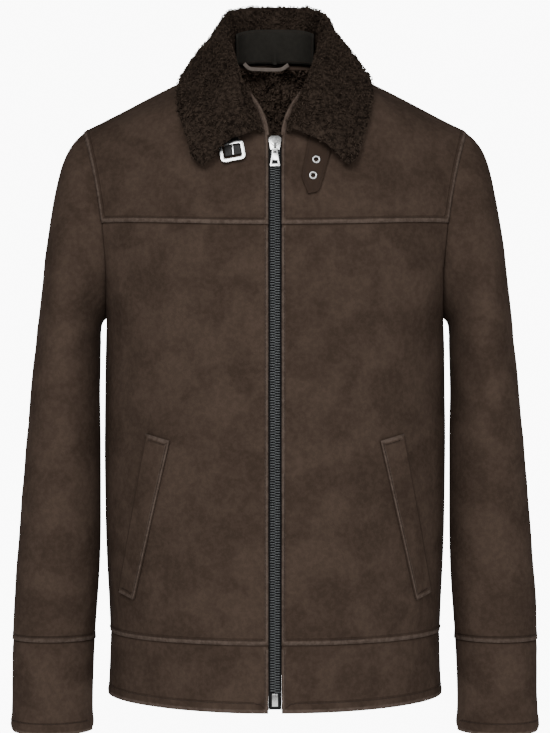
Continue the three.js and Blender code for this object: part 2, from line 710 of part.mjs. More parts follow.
function makeZip() {
  const top = zipPosition(HINGE_Z - 0.6);
  for (const [side, hand] of [
    [1, "left"],
    [-1, "right"],
  ]) {
    const xs = [0.3 * side, (ZIP_HALF - 0.35) * side];
    zipStrip(`zip_tape_${hand}`, xs, 0.05, 5.97, -TAPE_DROP, -TAPE_DROP - TAPE_THICK, 20, TAPE);
  }
  const foot = zipPosition(END_BOX.toZ);
  zipStrip("zip_chain", [-CHAIN_HALF, CHAIN_HALF], foot, top, 0.2, -TAPE_DROP + ON_TOP, 20, TEETH);
  const boxFoot = zipPosition(END_BOX.fromZ);
  const boxTop = zipPosition(END_BOX.toZ - 0.4);
  const boxLow = -TAPE_DROP + ON_TOP;
  const boxEnds = [-END_BOX.half, END_BOX.half];
  zipStrip("zip_end_box", boxEnds, boxFoot, boxTop, boxLow + END_BOX.thick, boxLow, 1, STEEL);

  const group = frameOnFront(0, HINGE_Z);
  const body = polygon([
    [-SLIDER.footHalf, SLIDER.foot],
    [SLIDER.footHalf, SLIDER.foot],
    [SLIDER.topHalf, SLIDER.long * 0.66],
    [SLIDER.topHalf, SLIDER.long * 0.86],
    [SLIDER.topHalf * 0.6, SLIDER.long],
    [-SLIDER.topHalf * 0.6, SLIDER.long],
    [-SLIDER.topHalf, SLIDER.long * 0.86],
    [-SLIDER.topHalf, SLIDER.long * 0.66],
  ]);
  const crownLow = SLIDER.high - 1;
  const crown = new THREE.CylinderGeometry(SLIDER.crown, SLIDER.crown, SLIDER.crownHigh - crownLow, 20);
  crown.translate(0, -(SLIDER.crownHigh + crownLow) / 2, SLIDER.long * 0.58);
  const ringShape = new THREE.Shape();
  ringShape.absarc(0, 0, RING.outer, 0, Math.PI * 2, false);
  const hole = new THREE.Path();
  hole.absarc(0, 0, RING.inner, 0, Math.PI * 2, true);
  ringShape.holes.push(hole);
  const ringDepth = { depth: RING.thick, bevelEnabled: false, curveSegments: 16 };
  const ring = new THREE.ExtrudeGeometry(ringShape, ringDepth);
  ring.translate(0, 0, -RING.thick / 2);
  ring.rotateY(Math.PI / 2);
  ring.translate(0, -RING.off, 0);
  const stem = new THREE.BoxGeometry(RING.thick, STEM.deep, STEM.long);
  stem.translate(0, -STEM.off, STEM.up);
  const slider = [plate(body, SLIDER.low, SLIDER.high), crown, stem, ring]
    .map(toSolid)
    .reduce((whole, piece) => whole.add(piece));
  group.add(addPiece("zip_slider", fromSolid(slider), STEEL));

  const outline = polygon([
    [-TAB.topHalf, TAB.bar],
    [TAB.topHalf, TAB.bar],
    [TAB.topHalf, -TAB.slotLong - TAB.bar],
    [TAB.footHalf, -TAB.long],
    [-TAB.footHalf, -TAB.long],
    [-TAB.topHalf, -TAB.slotLong - TAB.bar],
  ].reverse());
  const rectangle = (half, from, to) => {
    const corners = [[-half, from], [-half, to], [half, to], [half, from]];
    return new THREE.Path(corners.map(([x, z]) => new THREE.Vector2(x, z)));
  };
  outline.holes.push(rectangle(TAB.slotHalf, -TAB.slotLong, -TAB.bar));
  outline.holes.push(rectangle(TAB_HOLE.half, TAB_HOLE.from, TAB_HOLE.to));
  const tab = plate(outline, RING.off - TAB.thick / 2, RING.off + TAB.thick / 2);
  group.add(addPiece("zip_pull_tab", tab, STEEL));
}

// Rows between two ends, each cut into the same number of columns.
function spreadRows(rows, perRow, columns) {
  const out = [];
  for (let i = 0; i < rows.length - 1; i += 1) {
    const last = i === rows.length - 2;
    for (let k = 0; k < perRow + (last ? 1 : 0); k += 1) {
      const t = k / perRow;
      const ends = [0, 1].map((e) => rows[i][e].map((v, c) => v + (rows[i + 1][e][c] - v) * t));
      const at = (j) => ends[0].map((v, c) => v + (ends[1][c] - v) * (j / columns));
      out.push(Array.from({ length: columns + 1 }, (_, j) => at(j)));
    }
  }
  return out;
}

function makeStraps() {
  const strap = spreadRows(EYELET_STRAP_ROWS, 2, 4);
  addPatch("eyelet_strap", 1, strap, STRAP_THICK, SUEDE);
  const mesh = coat.getObjectByName("eyelet_strap");
  let solid = toSolid(mesh.geometry);
  const top = ON_TOP + STRAP_THICK;
  EYELETS.forEach(([x, z], i) => {
    const group = frameOnFront(x, z);
    const punch = new THREE.CylinderGeometry(EYELET.inner, EYELET.inner, 12, 16);
    group.updateMatrixWorld(true);
    solid = solid.subtract(toSolid(punch.applyMatrix4(group.matrixWorld)));
    const { outer, inner, tall } = EYELET;
    const profile = [
      [inner, 0],
      [outer, 0],
      [outer - 0.4, tall * 0.7],
      [(outer + inner) / 2, tall],
      [inner + 0.2, tall * 0.6],
      [inner, 0],
    ].map(([r, h]) => new THREE.Vector2(r, h + top + ON_TOP));
    const ring = new THREE.LatheGeometry(profile, 20);
    ring.rotateX(Math.PI);
    group.add(addPiece(`eyelet_${i + 1}`, ring, STEEL));
  });
  mesh.geometry = fromSolid(solid);

  const left = BUCKLE_STRAP_ROWS.map((row) => row.map(([x, z]) => [-x, z]));
  addPatch("buckle_strap", -1, spreadRows(left, 4, 3), BUCKLE_STRAP_THICK, BLACK_LEATHER);
  const { wide, tall, bar, round, thick, tilt } = BUCKLE;
  const rounded = (path, w, h, r) => {
    path.moveTo(-w / 2 + r, -h / 2);
    path.lineTo(w / 2 - r, -h / 2);
    path.absarc(w / 2 - r, -h / 2 + r, r, -Math.PI / 2, 0, false);
    path.absarc(w / 2 - r, h / 2 - r, r, 0, Math.PI / 2, false);
    path.absarc(-w / 2 + r, h / 2 - r, r, Math.PI / 2, Math.PI, false);
    path.absarc(-w / 2 + r, -h / 2 + r, r, Math.PI, Math.PI * 1.5, false);
    return path;
  };
  const frame = rounded(new THREE.Shape(), wide, tall, round);
  frame.holes.push(rounded(new THREE.Path(), wide - 2 * bar, tall - 2 * bar, round - bar * 0.8));
  const low = ON_TOP + BUCKLE_STRAP_THICK + OFF_BUCKLE_STRAP;
  const buckleGroup = frameOnFront(BUCKLE.x, BUCKLE.z, -tilt);
  buckleGroup.add(addPiece("buckle_frame", plate(frame, low, low + thick), STEEL));
  const prongGroup = frameOnFront(PRONG.x, (PRONG.fromZ + PRONG.toZ) / 2, -tilt / 2);
  const prong = new THREE.BoxGeometry(PRONG.wide, PRONG.thick, PRONG.fromZ - PRONG.toZ);
  prong.translate(0, -(low + PRONG.thick / 2), 0);
  prongGroup.add(addPiece("buckle_prong", prong, STEEL));
}

// Panels, bands, sleeves, cuffs and pocket welts, the same on each side
for (const [side, hand] of [
  [1, "left"],
  [-1, "right"],
]) {
  addBodyPanel(`front_panel_${hand}`, side, FRONT, true, BAND_ROW, YOKE_ROW, 12);
  addBodyPanel(`front_yoke_${hand}`, side, FRONT, true, YOKE_ROW, SHOULDER_ROW, 9);
  addBodyPanel(`hem_band_front_${hand}`, side, FRONT, true, 0, BAND_ROW, 2);
  addBodyPanel(`hem_band_back_${hand}`, side, BACK, false, 0, BAND_ROW, 2);
  addBodyPanel(`back_${hand}`, side, BACK, false, BAND_ROW, SHOULDER_ROW, 21);
  addTube(`sleeve_${hand}`, side, SLEEVE, SLEEVE_STEPS, true);
  addTube(`cuff_${hand}`, side, CUFF, CUFF.length - 1, false);
  addPatch(`pocket_welt_${hand}`, side, spreadRows(WELT_ROWS, 12, 3), WELT_THICK, SUEDE);
}
makeNeckBand(makeCollar());
makeHangerLoop();
makeZip();
makeStraps();

export default coat;
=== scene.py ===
import json
import math
from collections import namedtuple

import bmesh
import bpy
import numpy as np
from bpy.props import FloatProperty, FloatVectorProperty, PointerProperty
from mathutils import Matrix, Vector, kdtree, noise
from mathutils.bvhtree import BVHTree

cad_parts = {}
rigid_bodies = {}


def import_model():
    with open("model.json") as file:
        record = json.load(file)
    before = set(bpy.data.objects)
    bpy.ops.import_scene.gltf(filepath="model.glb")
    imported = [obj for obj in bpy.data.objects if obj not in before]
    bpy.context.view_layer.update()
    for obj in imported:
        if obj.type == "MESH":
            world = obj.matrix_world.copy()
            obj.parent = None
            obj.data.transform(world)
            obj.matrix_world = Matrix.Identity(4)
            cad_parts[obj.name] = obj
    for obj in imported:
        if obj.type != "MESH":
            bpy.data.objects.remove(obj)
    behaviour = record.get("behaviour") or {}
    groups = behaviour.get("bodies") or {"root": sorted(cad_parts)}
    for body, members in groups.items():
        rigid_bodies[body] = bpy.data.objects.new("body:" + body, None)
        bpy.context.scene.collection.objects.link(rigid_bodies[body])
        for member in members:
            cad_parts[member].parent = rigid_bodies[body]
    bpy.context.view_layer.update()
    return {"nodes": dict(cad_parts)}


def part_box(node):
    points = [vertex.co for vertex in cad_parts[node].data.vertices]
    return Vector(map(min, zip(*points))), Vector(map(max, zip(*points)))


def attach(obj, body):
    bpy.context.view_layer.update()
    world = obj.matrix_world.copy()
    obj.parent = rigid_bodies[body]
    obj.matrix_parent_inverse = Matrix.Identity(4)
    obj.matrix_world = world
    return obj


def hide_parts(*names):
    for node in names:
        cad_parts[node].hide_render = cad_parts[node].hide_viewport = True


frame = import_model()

bl_info = {
    "name": "Shearling coat",
    "version": (1, 0, 0),
    "blender": (4, 5, 0),
    "location": "View3D > Sidebar > Coat",
    "description": "Dresses the frame of a shearling coat with suede, wool, stitching and metal",
    "category": "Object",
}

MM = 0.001

# Edges of a skin panel, by the side that they face, and how each is sewn:
# over laps on its neighbour, under lies below one, turned is folded back, plain meets edge to edge.
# levels is the number of subdivisions, and flat the cut piece's width and length in metres.
SKINS = {
    "front_panel": {
        "levels": 3, "up": "under", "down": "over", "inward": "placket", "outward": "plain",
        "flat": (0.265, 0.480), "area": 0.119,
    },
    "front_yoke": {
        "levels": 3, "up": "plain", "down": "over", "inward": "placket", "outward": "over",
        "flat": (0.245, 0.205), "area": 0.0405,
    },
    "hem_band_front": {
        "levels": 3, "up": "under", "down": "hem", "inward": "placket", "outward": "plain",
        "flat": (0.265, 0.0758), "area": None,
    },
    "hem_band_back": {
        "levels": 3, "up": "under", "down": "hem", "inward": "plain", "outward": "plain",
        "flat": (0.270, 0.073), "area": None,
    },
    "back": {
        "levels": 2, "up": "plain", "down": "over", "inward": "plain", "outward": "over",
        "flat": (0.272, 0.690), "area": 0.168,
    },
    "sleeve": {
        "levels": 2, "up": "under", "down": "over", "inward": "plain", "outward": "plain",
        "flat": (0.380, 0.590), "area": 0.153,
    },
    "cuff": {
        "levels": 2, "up": "under", "down": "cuff", "inward": "plain", "outward": "plain",
        "flat": (0.262, 0.107), "area": None,
    },
    "pocket_welt": {
        "levels": 2, "up": "end", "down": "end", "inward": "turned", "outward": "fold",
        "flat": (0.030, 0.190), "area": None,
    },
}
SIDES = ("up", "down", "inward", "outward")

# How a sewn edge stands: lift of the lip, its breadth, and where its row of stitches runs, all in mm.
SEAMS = {
    "over": {"lift": 1.3, "breadth": 7.0, "row": 5.6},
    "under": {"lift": -1.1, "breadth": 5.0, "row": None},
    "placket": {"lift": 0.9, "breadth": 4.2, "row": 3.4},
    "turned": {"lift": 0.5, "breadth": 4.0, "row": 2.6},
    "end": {"lift": 0.4, "breadth": 7.5, "row": 6.4},
    "fold": {"lift": -0.7, "breadth": 4.0, "row": None},
    "hem": {"lift": 0.9, "breadth": 11.0, "row": 11.5},
    "cuff": {"lift": 0.6, "breadth": 12.0, "row": 13.5},
    "plain": {"lift": -1.2, "breadth": 4.5, "row": None},
}

# The edges that meet a neighbour, and how far each one reaches for it, in metres.
CLOSED = ("over", "under", "plain")
CLOSING = 0.00032

# Dark and light colours of the plain stuffs, and the breadth of the woven ones' threads in metres.
STUFFS = {
    "lining": ((0.014, 0.0125, 0.0100), (0.040, 0.036, 0.029)),
    "loop cloth": ((0.13, 0.105, 0.090), (0.36, 0.30, 0.26)),
    "zip tape": ((0.008, 0.008, 0.0085), (0.028, 0.028, 0.030)),
    "black leather": ((0.009, 0.008, 0.0075), (0.026, 0.023, 0.021)),
    "pale floor": ((0.86, 0.86, 0.86), (0.90, 0.90, 0.90)),
}
THREADS = {"lining": 0.0007, "loop cloth": 0.0006, "zip tape": 0.0006}
WAVE_BAND = 0.31416  # metres from band to band in a wave texture of scale 1
INNER_PAINTED_LIGHT = 2.6  # painted light: the wool inside the coat is made this much lighter than the collar's, to make up for the shade inside the neck

# Swells of the surface: breadth in metres and height in mm. A skin's share of them, and what is left at its edges.
SKIN_SWELLS = ((0.055, 1.3), (0.016, 0.35))
COLLAR_SWELLS = ((0.03, 1.4), (0.0085, 1.5))
COLLAR_SUNK = 1.7
SWELL_SHARE = 0.8
EDGE_SHARE = 0.35
FAR = 60.0  # the distance in mm stored where no seam is near

# Wool: where over the skin room is looked for and how far from the neck band it keeps, in metres, how it leans
# and falls, how deep its foot is as a share of its size, and its least and greatest size.
ROOM_FROM, BAND_ROOM = 0.0045, 0.0055
LEAN, FALL = 0.28, -0.5
FOOT = 0.12
CURL_SIZES = (0.75, 1.3)
COLLAR_ROOM, INNER_ROOM = 0.014, 0.02
INNER_FROM, INNER_HALF = -0.125, 0.075  # lowest z and half breadth of the pile inside the neck

# The bound edge of the V: its lowest z, half width and farthest y, its radius, and how much flatter it is.
V_FOOT, V_HALF, V_FRONT = -0.0815, 0.05, -0.05
BINDING_RADIUS, BINDING_BROAD = 1.5 * MM, 1.25

# Roundings of the metal pieces in mm.
METAL = {
    "buckle_frame": 0.45, "buckle_prong": 0.45, "eyelet_1": 0.45, "eyelet_2": 0.45,
    "zip_end_box": 0.5, "zip_slider": 0.4, "zip_pull_tab": 0.3,
}

# Lights: place and size in metres, and power in watts. The floor reaches this far from the middle.
LIGHTS = {
    "key light": ((-0.7, -3.0, 1.5), 1.4, 60),
    "fill light": ((1.0, -3.0, 0.8), 1.6, 28),
    "back light": ((0.3, 3.1, -0.1), 1.8, 28),
}
FLOOR_REACH = 3.4

# Soft troughs and ridges in a skin, seen from the front or from behind: start and stop as x and z in mm, depth in
# mm (a ridge is below nought) and half width in mm. x counts outward from the middle of the coat, so a crease
# lies on both halves unless only names one.
Crease = namedtuple("Crease", "view start stop depth width only", defaults=(None,))
CREASES = {
    "front_panel": [
        Crease("front", (182, -212), (128, -262), 2.4, 15),
        Crease("front", (176, -250), (146, -330), -1.9, 17),
        Crease("front", (96, -300), (118, -372), 2.2, 18, "right"),
        Crease("front", (88, -322), (122, -366), 2.0, 20, "left"),
        Crease("front", (20, -262), (74, -286), 1.5, 14),
        Crease("front", (184, -352), (160, -446), 1.9, 15),
        Crease("front", (60, -470), (36, -548), 1.9, 19, "right"),
        Crease("front", (66, -500), (30, -562), 1.7, 17, "left"),
        Crease("front", (20, -420), (66, -436), 1.2, 13),
        Crease("front", (90, -560), (98, -632), -1.6, 17),
    ],
    "front_yoke": [
        Crease("front", (186, -92), (140, -128), 1.9, 15),
        Crease("front", (120, -62), (148, -30), 1.4, 14),
        Crease("front", (84, -150), (132, -158), -1.2, 13),
        Crease("front", (22, -150), (62, -166), 1.2, 11),
    ],
    "hem_band_front": [
        Crease("front", (118, -654), (126, -706), 1.3, 14),
        Crease("front", (62, -662), (54, -710), -1.2, 16),
    ],
    "hem_band_back": [
        Crease("back", (96, -654), (104, -708), 1.4, 15),
        Crease("back", (40, -660), (34, -706), -1.1, 14),
    ],
    "back": [
        Crease("back", (176, -190), (120, -252), 2.6, 17),
        Crease("back", (178, -240), (132, -318), -1.9, 17),
        Crease("back", (28, -150), (88, -170), 1.9, 15, "left"),
        Crease("back", (20, -170), (74, -160), 1.7, 14, "right"),
        Crease("back", (24, -386), (98, -404), 2.4, 15, "right"),
        Crease("back", (30, -402), (112, -380), 2.3, 16, "left"),
        Crease("back", (60, -436), (148, -446), 1.9, 14),
        Crease("back", (186, -340), (150, -430), 2.0, 15),
        Crease("back", (96, -520), (88, -630), -1.9, 20),
        Crease("back", (60, -40), (120, -66), 1.5, 15),
    ],
    "sleeve": [
        Crease("front", (212, -212), (240, -232), 2.2, 11),
        Crease("front", (208, -262), (244, -290), 2.6, 12),
        Crease("front", (210, -318), (238, -336), 2.6, 11, "left"),
        Crease("front", (208, -308), (242, -330), 2.4, 12, "right"),
        Crease("front", (280, -312), (252, -344), 1.8, 12),
        Crease("front", (206, -380), (246, -372), 3.0, 11),
        Crease("front", (288, -402), (254, -424), 2.0, 12),
        Crease("front", (206, -440), (250, -458), 2.3, 12),
        Crease("front", (296, -510), (262, -528), 1.7, 12, "right"),
        Crease("front", (294, -494), (256, -520), 1.9, 13, "left"),
        Crease("front", (212, -560), (238, -610), -1.4, 13),
        Crease("back", (212, -222), (246, -246), 2.8, 13),
        Crease("back", (208, -284), (250, -306), 2.8, 12),
        Crease("back", (216, -352), (276, -372), 3.2, 12),
        Crease("back", (214, -410), (282, -398), 3.2, 12),
        Crease("back", (216, -452), (270, -470), 2.4, 13),
        Crease("back", (226, -540), (286, -556), 1.8, 13),
    ],
    "cuff": [
        Crease("front", (246, -666), (250, -730), 0.9, 12),
        Crease("back", (262, -670), (256, -730), 1.1, 12),
    ],
    "pocket_welt": [],
}


class CoatSuede(bpy.types.PropertyGroup):
    dark: FloatVectorProperty(
        name="Dark nap", description="Suede where the nap lies away",
        subtype="COLOR", size=3, default=(0.0390, 0.0255, 0.0187),
    )
    light: FloatVectorProperty(
        name="Light nap", description="Suede where the nap stands",
        subtype="COLOR", size=3, default=(0.0960, 0.0660, 0.0500),
    )
    # Painted highlight: the lighter colour laid along the raised lips of lapped seams.
    lip_highlight: FloatVectorProperty(
        name="Painted lip highlight", description="Suede rubbed along its edges",
        subtype="COLOR", size=3, default=(0.135, 0.101, 0.082),
    )
    patches: FloatProperty(
        name="Patch size", description="Breadth of a patch of nap", unit="LENGTH", subtype="DISTANCE", default=0.045
    )


class CoatWool(bpy.types.PropertyGroup):
    # Painted shade: the root colour darkens the wool deep in the pile, where little light gets in.
    root: FloatVectorProperty(
        name="Root", description="Wool deep in the pile",
        subtype="COLOR", size=3, default=(0.0066, 0.0044, 0.0033),
    )
    tip: FloatVectorProperty(
        name="Tip", description="Wool at the ends of the curls",
        subtype="COLOR", size=3, default=(0.0900, 0.0640, 0.0480),
    )
    curl: FloatProperty(
        name="Curl size", description="Breadth of a curl of wool", unit="LENGTH", subtype="DISTANCE", default=0.0034
    )
    spacing: FloatProperty(
        name="Curl spacing", description="Distance between curls", unit="LENGTH", subtype="DISTANCE", default=0.0032
    )


class CoatThread(bpy.types.PropertyGroup):
    colour: FloatVectorProperty(
        name="Thread", description="Colour of the thread",
        subtype="COLOR", size=3, default=(0.040, 0.025, 0.018),
    )
    pitch: FloatProperty(
        name="Stitch pitch", description="From a stitch to the next", unit="LENGTH", subtype="DISTANCE", default=0.0042
    )
    stitch: FloatProperty(
        name="Stitch length", description="Length of a stitch", unit="LENGTH", subtype="DISTANCE", default=0.0031
    )
    thickness: FloatProperty(
        name="Thread thickness", description="Across a stitch", unit="LENGTH", subtype="DISTANCE", default=0.0007
    )


class CoatZip(bpy.types.PropertyGroup):
    pitch: FloatProperty(
        name="Tooth pitch", description="Between teeth of one tape", unit="LENGTH", subtype="DISTANCE", default=0.0029
    )
    tooth_long: FloatProperty(
        name="Tooth length", description="From the tape to the head", unit="LENGTH", subtype="DISTANCE", default=0.0062
    )
    tooth_tall: FloatProperty(
        name="Tooth height", description="Along the chain", unit="LENGTH", subtype="DISTANCE", default=0.0014
    )
    steel: FloatVectorProperty(
        name="Tooth metal", description="Colour of the teeth",
        subtype="COLOR", size=3, default=(0.13, 0.136, 0.138),
    )
    nickel: FloatVectorProperty(
        name="Nickel", description="Polished slider, tab and buckle",
        subtype="COLOR", size=3, default=(0.88, 0.88, 0.87),
    )


class CoatStage(bpy.types.PropertyGroup):
    room_light: FloatProperty(name="Room light", description="Even light from all round", default=0.20)
    backdrop: FloatProperty(name="Backdrop", description="Brightness of the pale room behind", default=10.0)
    distance: FloatProperty(
        name="Camera distance", description="From the shoulders", unit="LENGTH", subtype="DISTANCE", default=2.6
    )
    height: FloatProperty(
        name="Camera height", description="Along z", unit="LENGTH", subtype="DISTANCE", default=-0.341
    )
    half_view: FloatProperty(
        name="Half view", description="Half the picture at the shoulders", unit="LENGTH", subtype="DISTANCE",
        default=0.4288,
    )
    floor: FloatProperty(
        name="Floor", description="Height of the floor", unit="LENGTH", subtype="DISTANCE", default=-1.4
    )


# Small tools

def only(obj):
    """Makes obj the one selected and active object."""
    bpy.ops.object.select_all(action="DESELECT")
    obj.select_set(True)
    bpy.context.view_layer.objects.active = obj


def settled(obj):
    """Applies an object's place, turn and size to its mesh."""
    only(obj)
    bpy.ops.object.transform_apply(location=True, rotation=True, scale=True)


def new_object(name, points, faces, smooth=True):
    """A mesh object from arrays of points and faces."""
    mesh = bpy.data.meshes.new(name)
    mesh.from_pydata([tuple(p) for p in points], [], [tuple(f) for f in faces])
    mesh.update()
    if smooth:
        mesh.shade_smooth()
    obj = bpy.data.objects.new(name, mesh)
    bpy.context.collection.objects.link(obj)
    return obj


def copy_of(node, name):
    """A merged copy of a CAD node, in quads where it can be."""
    piece = bpy.data.objects.new(name, frame["nodes"][node].data.copy())
    bpy.context.collection.objects.link(piece)
    only(piece)
    bpy.ops.mesh.customdata_custom_splitnormals_clear()
    bpy.ops.object.mode_set(mode="EDIT")
    bpy.ops.mesh.select_all(action="SELECT")
    bpy.ops.mesh.remove_doubles(threshold=0.00005)
    bpy.ops.mesh.tris_convert_to_quads(face_threshold=1.05, shape_threshold=1.05)
    bpy.ops.object.mode_set(mode="OBJECT")
    piece.data.materials.clear()
    return piece


def points_of(mesh):
    """The points of a mesh as an array."""
    flat = np.empty(len(mesh.vertices) * 3)
    mesh.vertices.foreach_get("co", flat)
    return flat.reshape(-1, 3)


def set_points(mesh, points):
    """Writes an array of points back to a mesh."""
    mesh.vertices.foreach_set("co", np.asarray(points, dtype=np.float32).ravel())
    mesh.update()


def normals_of(mesh):
    """The point normals of a mesh as an array."""
    flat = np.empty(len(mesh.vertices) * 3)
    mesh.vertex_normals.foreach_get("vector", flat)
    return flat.reshape(-1, 3)


def fade(values, start, end):
    """From 0 at start to 1 at end, smoothly."""
    t = np.clip((values - start) / (end - start), 0, 1)
    return t * t * (3 - 2 * t)


def store(mesh, name, values):
    """Keeps a number for each point, for the materials."""
    layer = mesh.attributes.new(name, "FLOAT", "POINT")
    layer.data.foreach_set("value", np.asarray(values, dtype=np.float32))

# Materials, by the names that the pieces ask for

MADE = {}


def feed(tree, value, node, entry):
    """Links an input to a (node, output) pair, or sets it to a plain value."""
    if isinstance(value, tuple) and isinstance(value[0], bpy.types.Node):
        tree.links.new(value[0].outputs[value[1]], node.inputs[entry])
    else:
        node.inputs[entry].default_value = value


def add(tree, kind, inputs=None, **settings):
    """A node with its own settings and what its inputs are fed."""
    node = tree.nodes.new(kind)
    for name, value in settings.items():
        setattr(node, name, value)
    for entry, value in (inputs or {}).items():
        feed(tree, value, node, entry)
    return node


def maths(tree, operation, *values, clamp=False):
    """The result of a Math node."""
    return add(tree, "ShaderNodeMath", dict(enumerate(values)), operation=operation, use_clamp=clamp), 0


def blend_colour(tree, share, first, second):
    """A mix of two colours."""
    first, second = (
        colour if isinstance(colour[0], bpy.types.Node) else (*colour, 1) for colour in (first, second)
    )
    return add(tree, "ShaderNodeMix", {0: share, 6: first, 7: second}, data_type="RGBA"), 2


def ramp(tree, source, low, high):
    """A value brought from low..high to 0..1."""
    return add(tree, "ShaderNodeMapRange", {0: source, 1: low, 2: high}, interpolation_type="SMOOTHSTEP"), 0


def noise_of(tree, vector, size, detail=3.0, roughness=0.55, distortion=0.0):
    """A noise whose features are about size across, in metres."""
    inputs = {"Vector": vector, "Scale": 1 / size, "Detail": detail, "Roughness": roughness, "Distortion": distortion}
    return add(tree, "ShaderNodeTexNoise", inputs), 0


def stored(tree, name):
    """A number that the mesh keeps for each point."""
    return add(tree, "ShaderNodeAttribute", attribute_name=name), "Fac"


def raised(tree, height, strength, distance, under=None):
    """The normals of a bump, laid over those of another one if there is one."""
    node = add(tree, "ShaderNodeBump", {"Height": height, "Strength": strength, "Distance": distance})
    if under:
        feed(tree, under, node, "Normal")
    return node, "Normal"


def new_material(name, **sockets):
    """A new material's tree, its one Principled shader with its even values, and the place on the object."""
    MADE[name] = bpy.data.materials.new(name)
    MADE[name].use_nodes = True
    tree = MADE[name].node_tree
    shader = tree.nodes["Principled BSDF"]
    for entry, value in sockets.items():
        shader.inputs[entry.replace("_", " ")].default_value = value
    return tree, shader, (add(tree, "ShaderNodeTexCoord"), "Object")


def dress(tree, shader, colour, normals=None):
    """Feeds a shader its colour and normals."""
    feed(tree, colour, shader, "Base Color")
    if normals:
        feed(tree, normals, shader, "Normal")


def new_group(name, inputs, outputs):
    """A shader node group with its sockets, and its two end nodes."""
    group = bpy.data.node_groups.new(name, "ShaderNodeTree")
    for way, sockets in (("INPUT", inputs), ("OUTPUT", outputs)):
        for socket, kind in sockets.items():
            group.interface.new_socket(socket, in_out=way, socket_type=kind)
    return group, group.nodes.new("NodeGroupInput"), group.nodes.new("NodeGroupOutput")


def nap_group():
    """Suede's nap: broad patches, small mottling and a fine grain, from a position."""
    names = ("Patches", "Mottle", "Height")
    group, start, end = new_group(
        "nap", {"Vector": "NodeSocketVector", "Patch size": "NodeSocketFloat"},
        dict.fromkeys(names, "NodeSocketFloat"),
    )
    place = (start, "Vector")
    scale = maths(group, "DIVIDE", 1.0, (start, "Patch size"))
    inputs = {"Vector": place, "Scale": scale, "Detail": 3.0, "Roughness": 0.5, "Distortion": 0.6}
    broad = add(group, "ShaderNodeTexNoise", inputs), 0
    middle = noise_of(group, place, 0.0062, detail=4.0, roughness=0.7)
    fine = noise_of(group, place, 0.0011, detail=3.0, roughness=0.7)
    height = maths(group, "MULTIPLY_ADD", middle, 0.8, fine)
    for name, value in zip(names, (ramp(group, broad, 0.34, 0.66), ramp(group, middle, 0.38, 0.64), height)):
        feed(group, value, end, name)
    return group


def seam_group():
    """Masks along sewn edges, from the stored distances to an edge and to its row of stitches, in mm: a painted
    highlight on the raised lips of edges that lap over, and painted shade where an edge tucks under its neighbour and
    along the sunk rows of stitches.
    """
    names = ("Lip highlight", "Painted shade", "Height")
    group, _, end = new_group("seam", {}, dict.fromkeys(names, "NodeSocketFloat"))
    edge, row, over = (stored(group, name) for name in ("edge", "row", "over"))
    # Painted highlight: lighter within a few mm of every edge that laps over and stands raised.
    lip_highlight_mask = maths(group, "MULTIPLY", ramp(group, edge, 4.8, 2.6), over)
    groove = ramp(group, maths(group, "ABSOLUTE", row), 1.5, 0.1)
    # Painted shade: darker within 3 mm of every edge that tucks under its neighbour, and along the stitch grooves.
    under = maths(group, "SUBTRACT", 1.0, over)
    dark = maths(group, "MULTIPLY", ramp(group, edge, 3.2, 0.2), under)
    shade = maths(group, "MAXIMUM", dark, maths(group, "MULTIPLY", groove, 0.55))
    for name, value in zip(names, (lip_highlight_mask, shade, maths(group, "MULTIPLY", groove, -1.0))):
        feed(group, value, end, name)
    return group


def suede_material(look):
    """Brushed suede with patches of nap, a painted highlight on the raised seam lips, and painted shade at tucked
    edges and in the sunk rows of stitches.
    """
    tree, shader, place = new_material("suede", Roughness=0.95, Specular_IOR_Level=0.06)
    nap = add(tree, "ShaderNodeGroup", node_tree=nap_group())
    feed(tree, look.patches, nap, "Patch size")
    feed(tree, place, nap, "Vector")
    sewn = add(tree, "ShaderNodeGroup", node_tree=seam_group())
    share = maths(tree, "MULTIPLY_ADD", (nap, "Mottle"), 0.24, 0.17)
    level = maths(tree, "MULTIPLY_ADD", (nap, "Patches"), 0.34, share)
    base = blend_colour(tree, level, look.dark, look.light)
    broken = maths(tree, "MULTIPLY_ADD", (nap, "Mottle"), 0.5, 0.35)
    # Painted highlight: the raised seam lips take the lighter lip colour, broken by the mottle.
    lip_highlight = blend_colour(tree, maths(tree, "MULTIPLY", (sewn, "Lip highlight"), broken), base, look.lip_highlight)
    # Painted shade: tucked edges and stitch grooves are pulled towards the dark nap colour.
    final = blend_colour(tree, maths(tree, "MULTIPLY", (sewn, "Painted shade"), 0.75), lip_highlight, look.dark)
    grain = raised(tree, (nap, "Height"), 0.35, 0.0007)
    dress(tree, shader, final, raised(tree, (sewn, "Height"), 0.9, 0.0009, under=grain))


def wool_material(name, look, gain=1.0):
    """Curly wool: darker at the root as painted shade deep in the pile, lighter at the tip by gain, each lock a little
    different.
    """
    tree, shader, place = new_material(name, Roughness=0.9, Specular_IOR_Level=0.04)
    lit = ramp(tree, noise_of(tree, place, 0.0045, detail=3.0, roughness=0.7), 0.36, 0.68)
    shift = maths(tree, "MULTIPLY_ADD", noise_of(tree, place, 0.035, detail=2.0), 0.5, -0.25)
    share = maths(tree, "MULTIPLY_ADD", lit, 0.45, shift)
    level = maths(tree, "MULTIPLY_ADD", stored(tree, "pile_shade_and_tint"), 0.75, share, clamp=True)
    colour = blend_colour(tree, level, look.root, [c * gain for c in look.tip])
    strands = noise_of(tree, place, 0.0009, detail=2.0, distortion=1.5)
    dress(tree, shader, colour, raised(tree, strands, 0.6, 0.0006))


def cut_material(look):
    """The raw cut edge of a skin: a paler line of leather with wool behind it."""
    tree, shader, place = new_material("cut edge", Roughness=0.9, Specular_IOR_Level=0.15)
    fibres = noise_of(tree, place, 0.0016, detail=4.0, roughness=0.7)
    dress(tree, shader, blend_colour(tree, fibres, look.dark, look.light), raised(tree, fibres, 0.5, 0.0005))


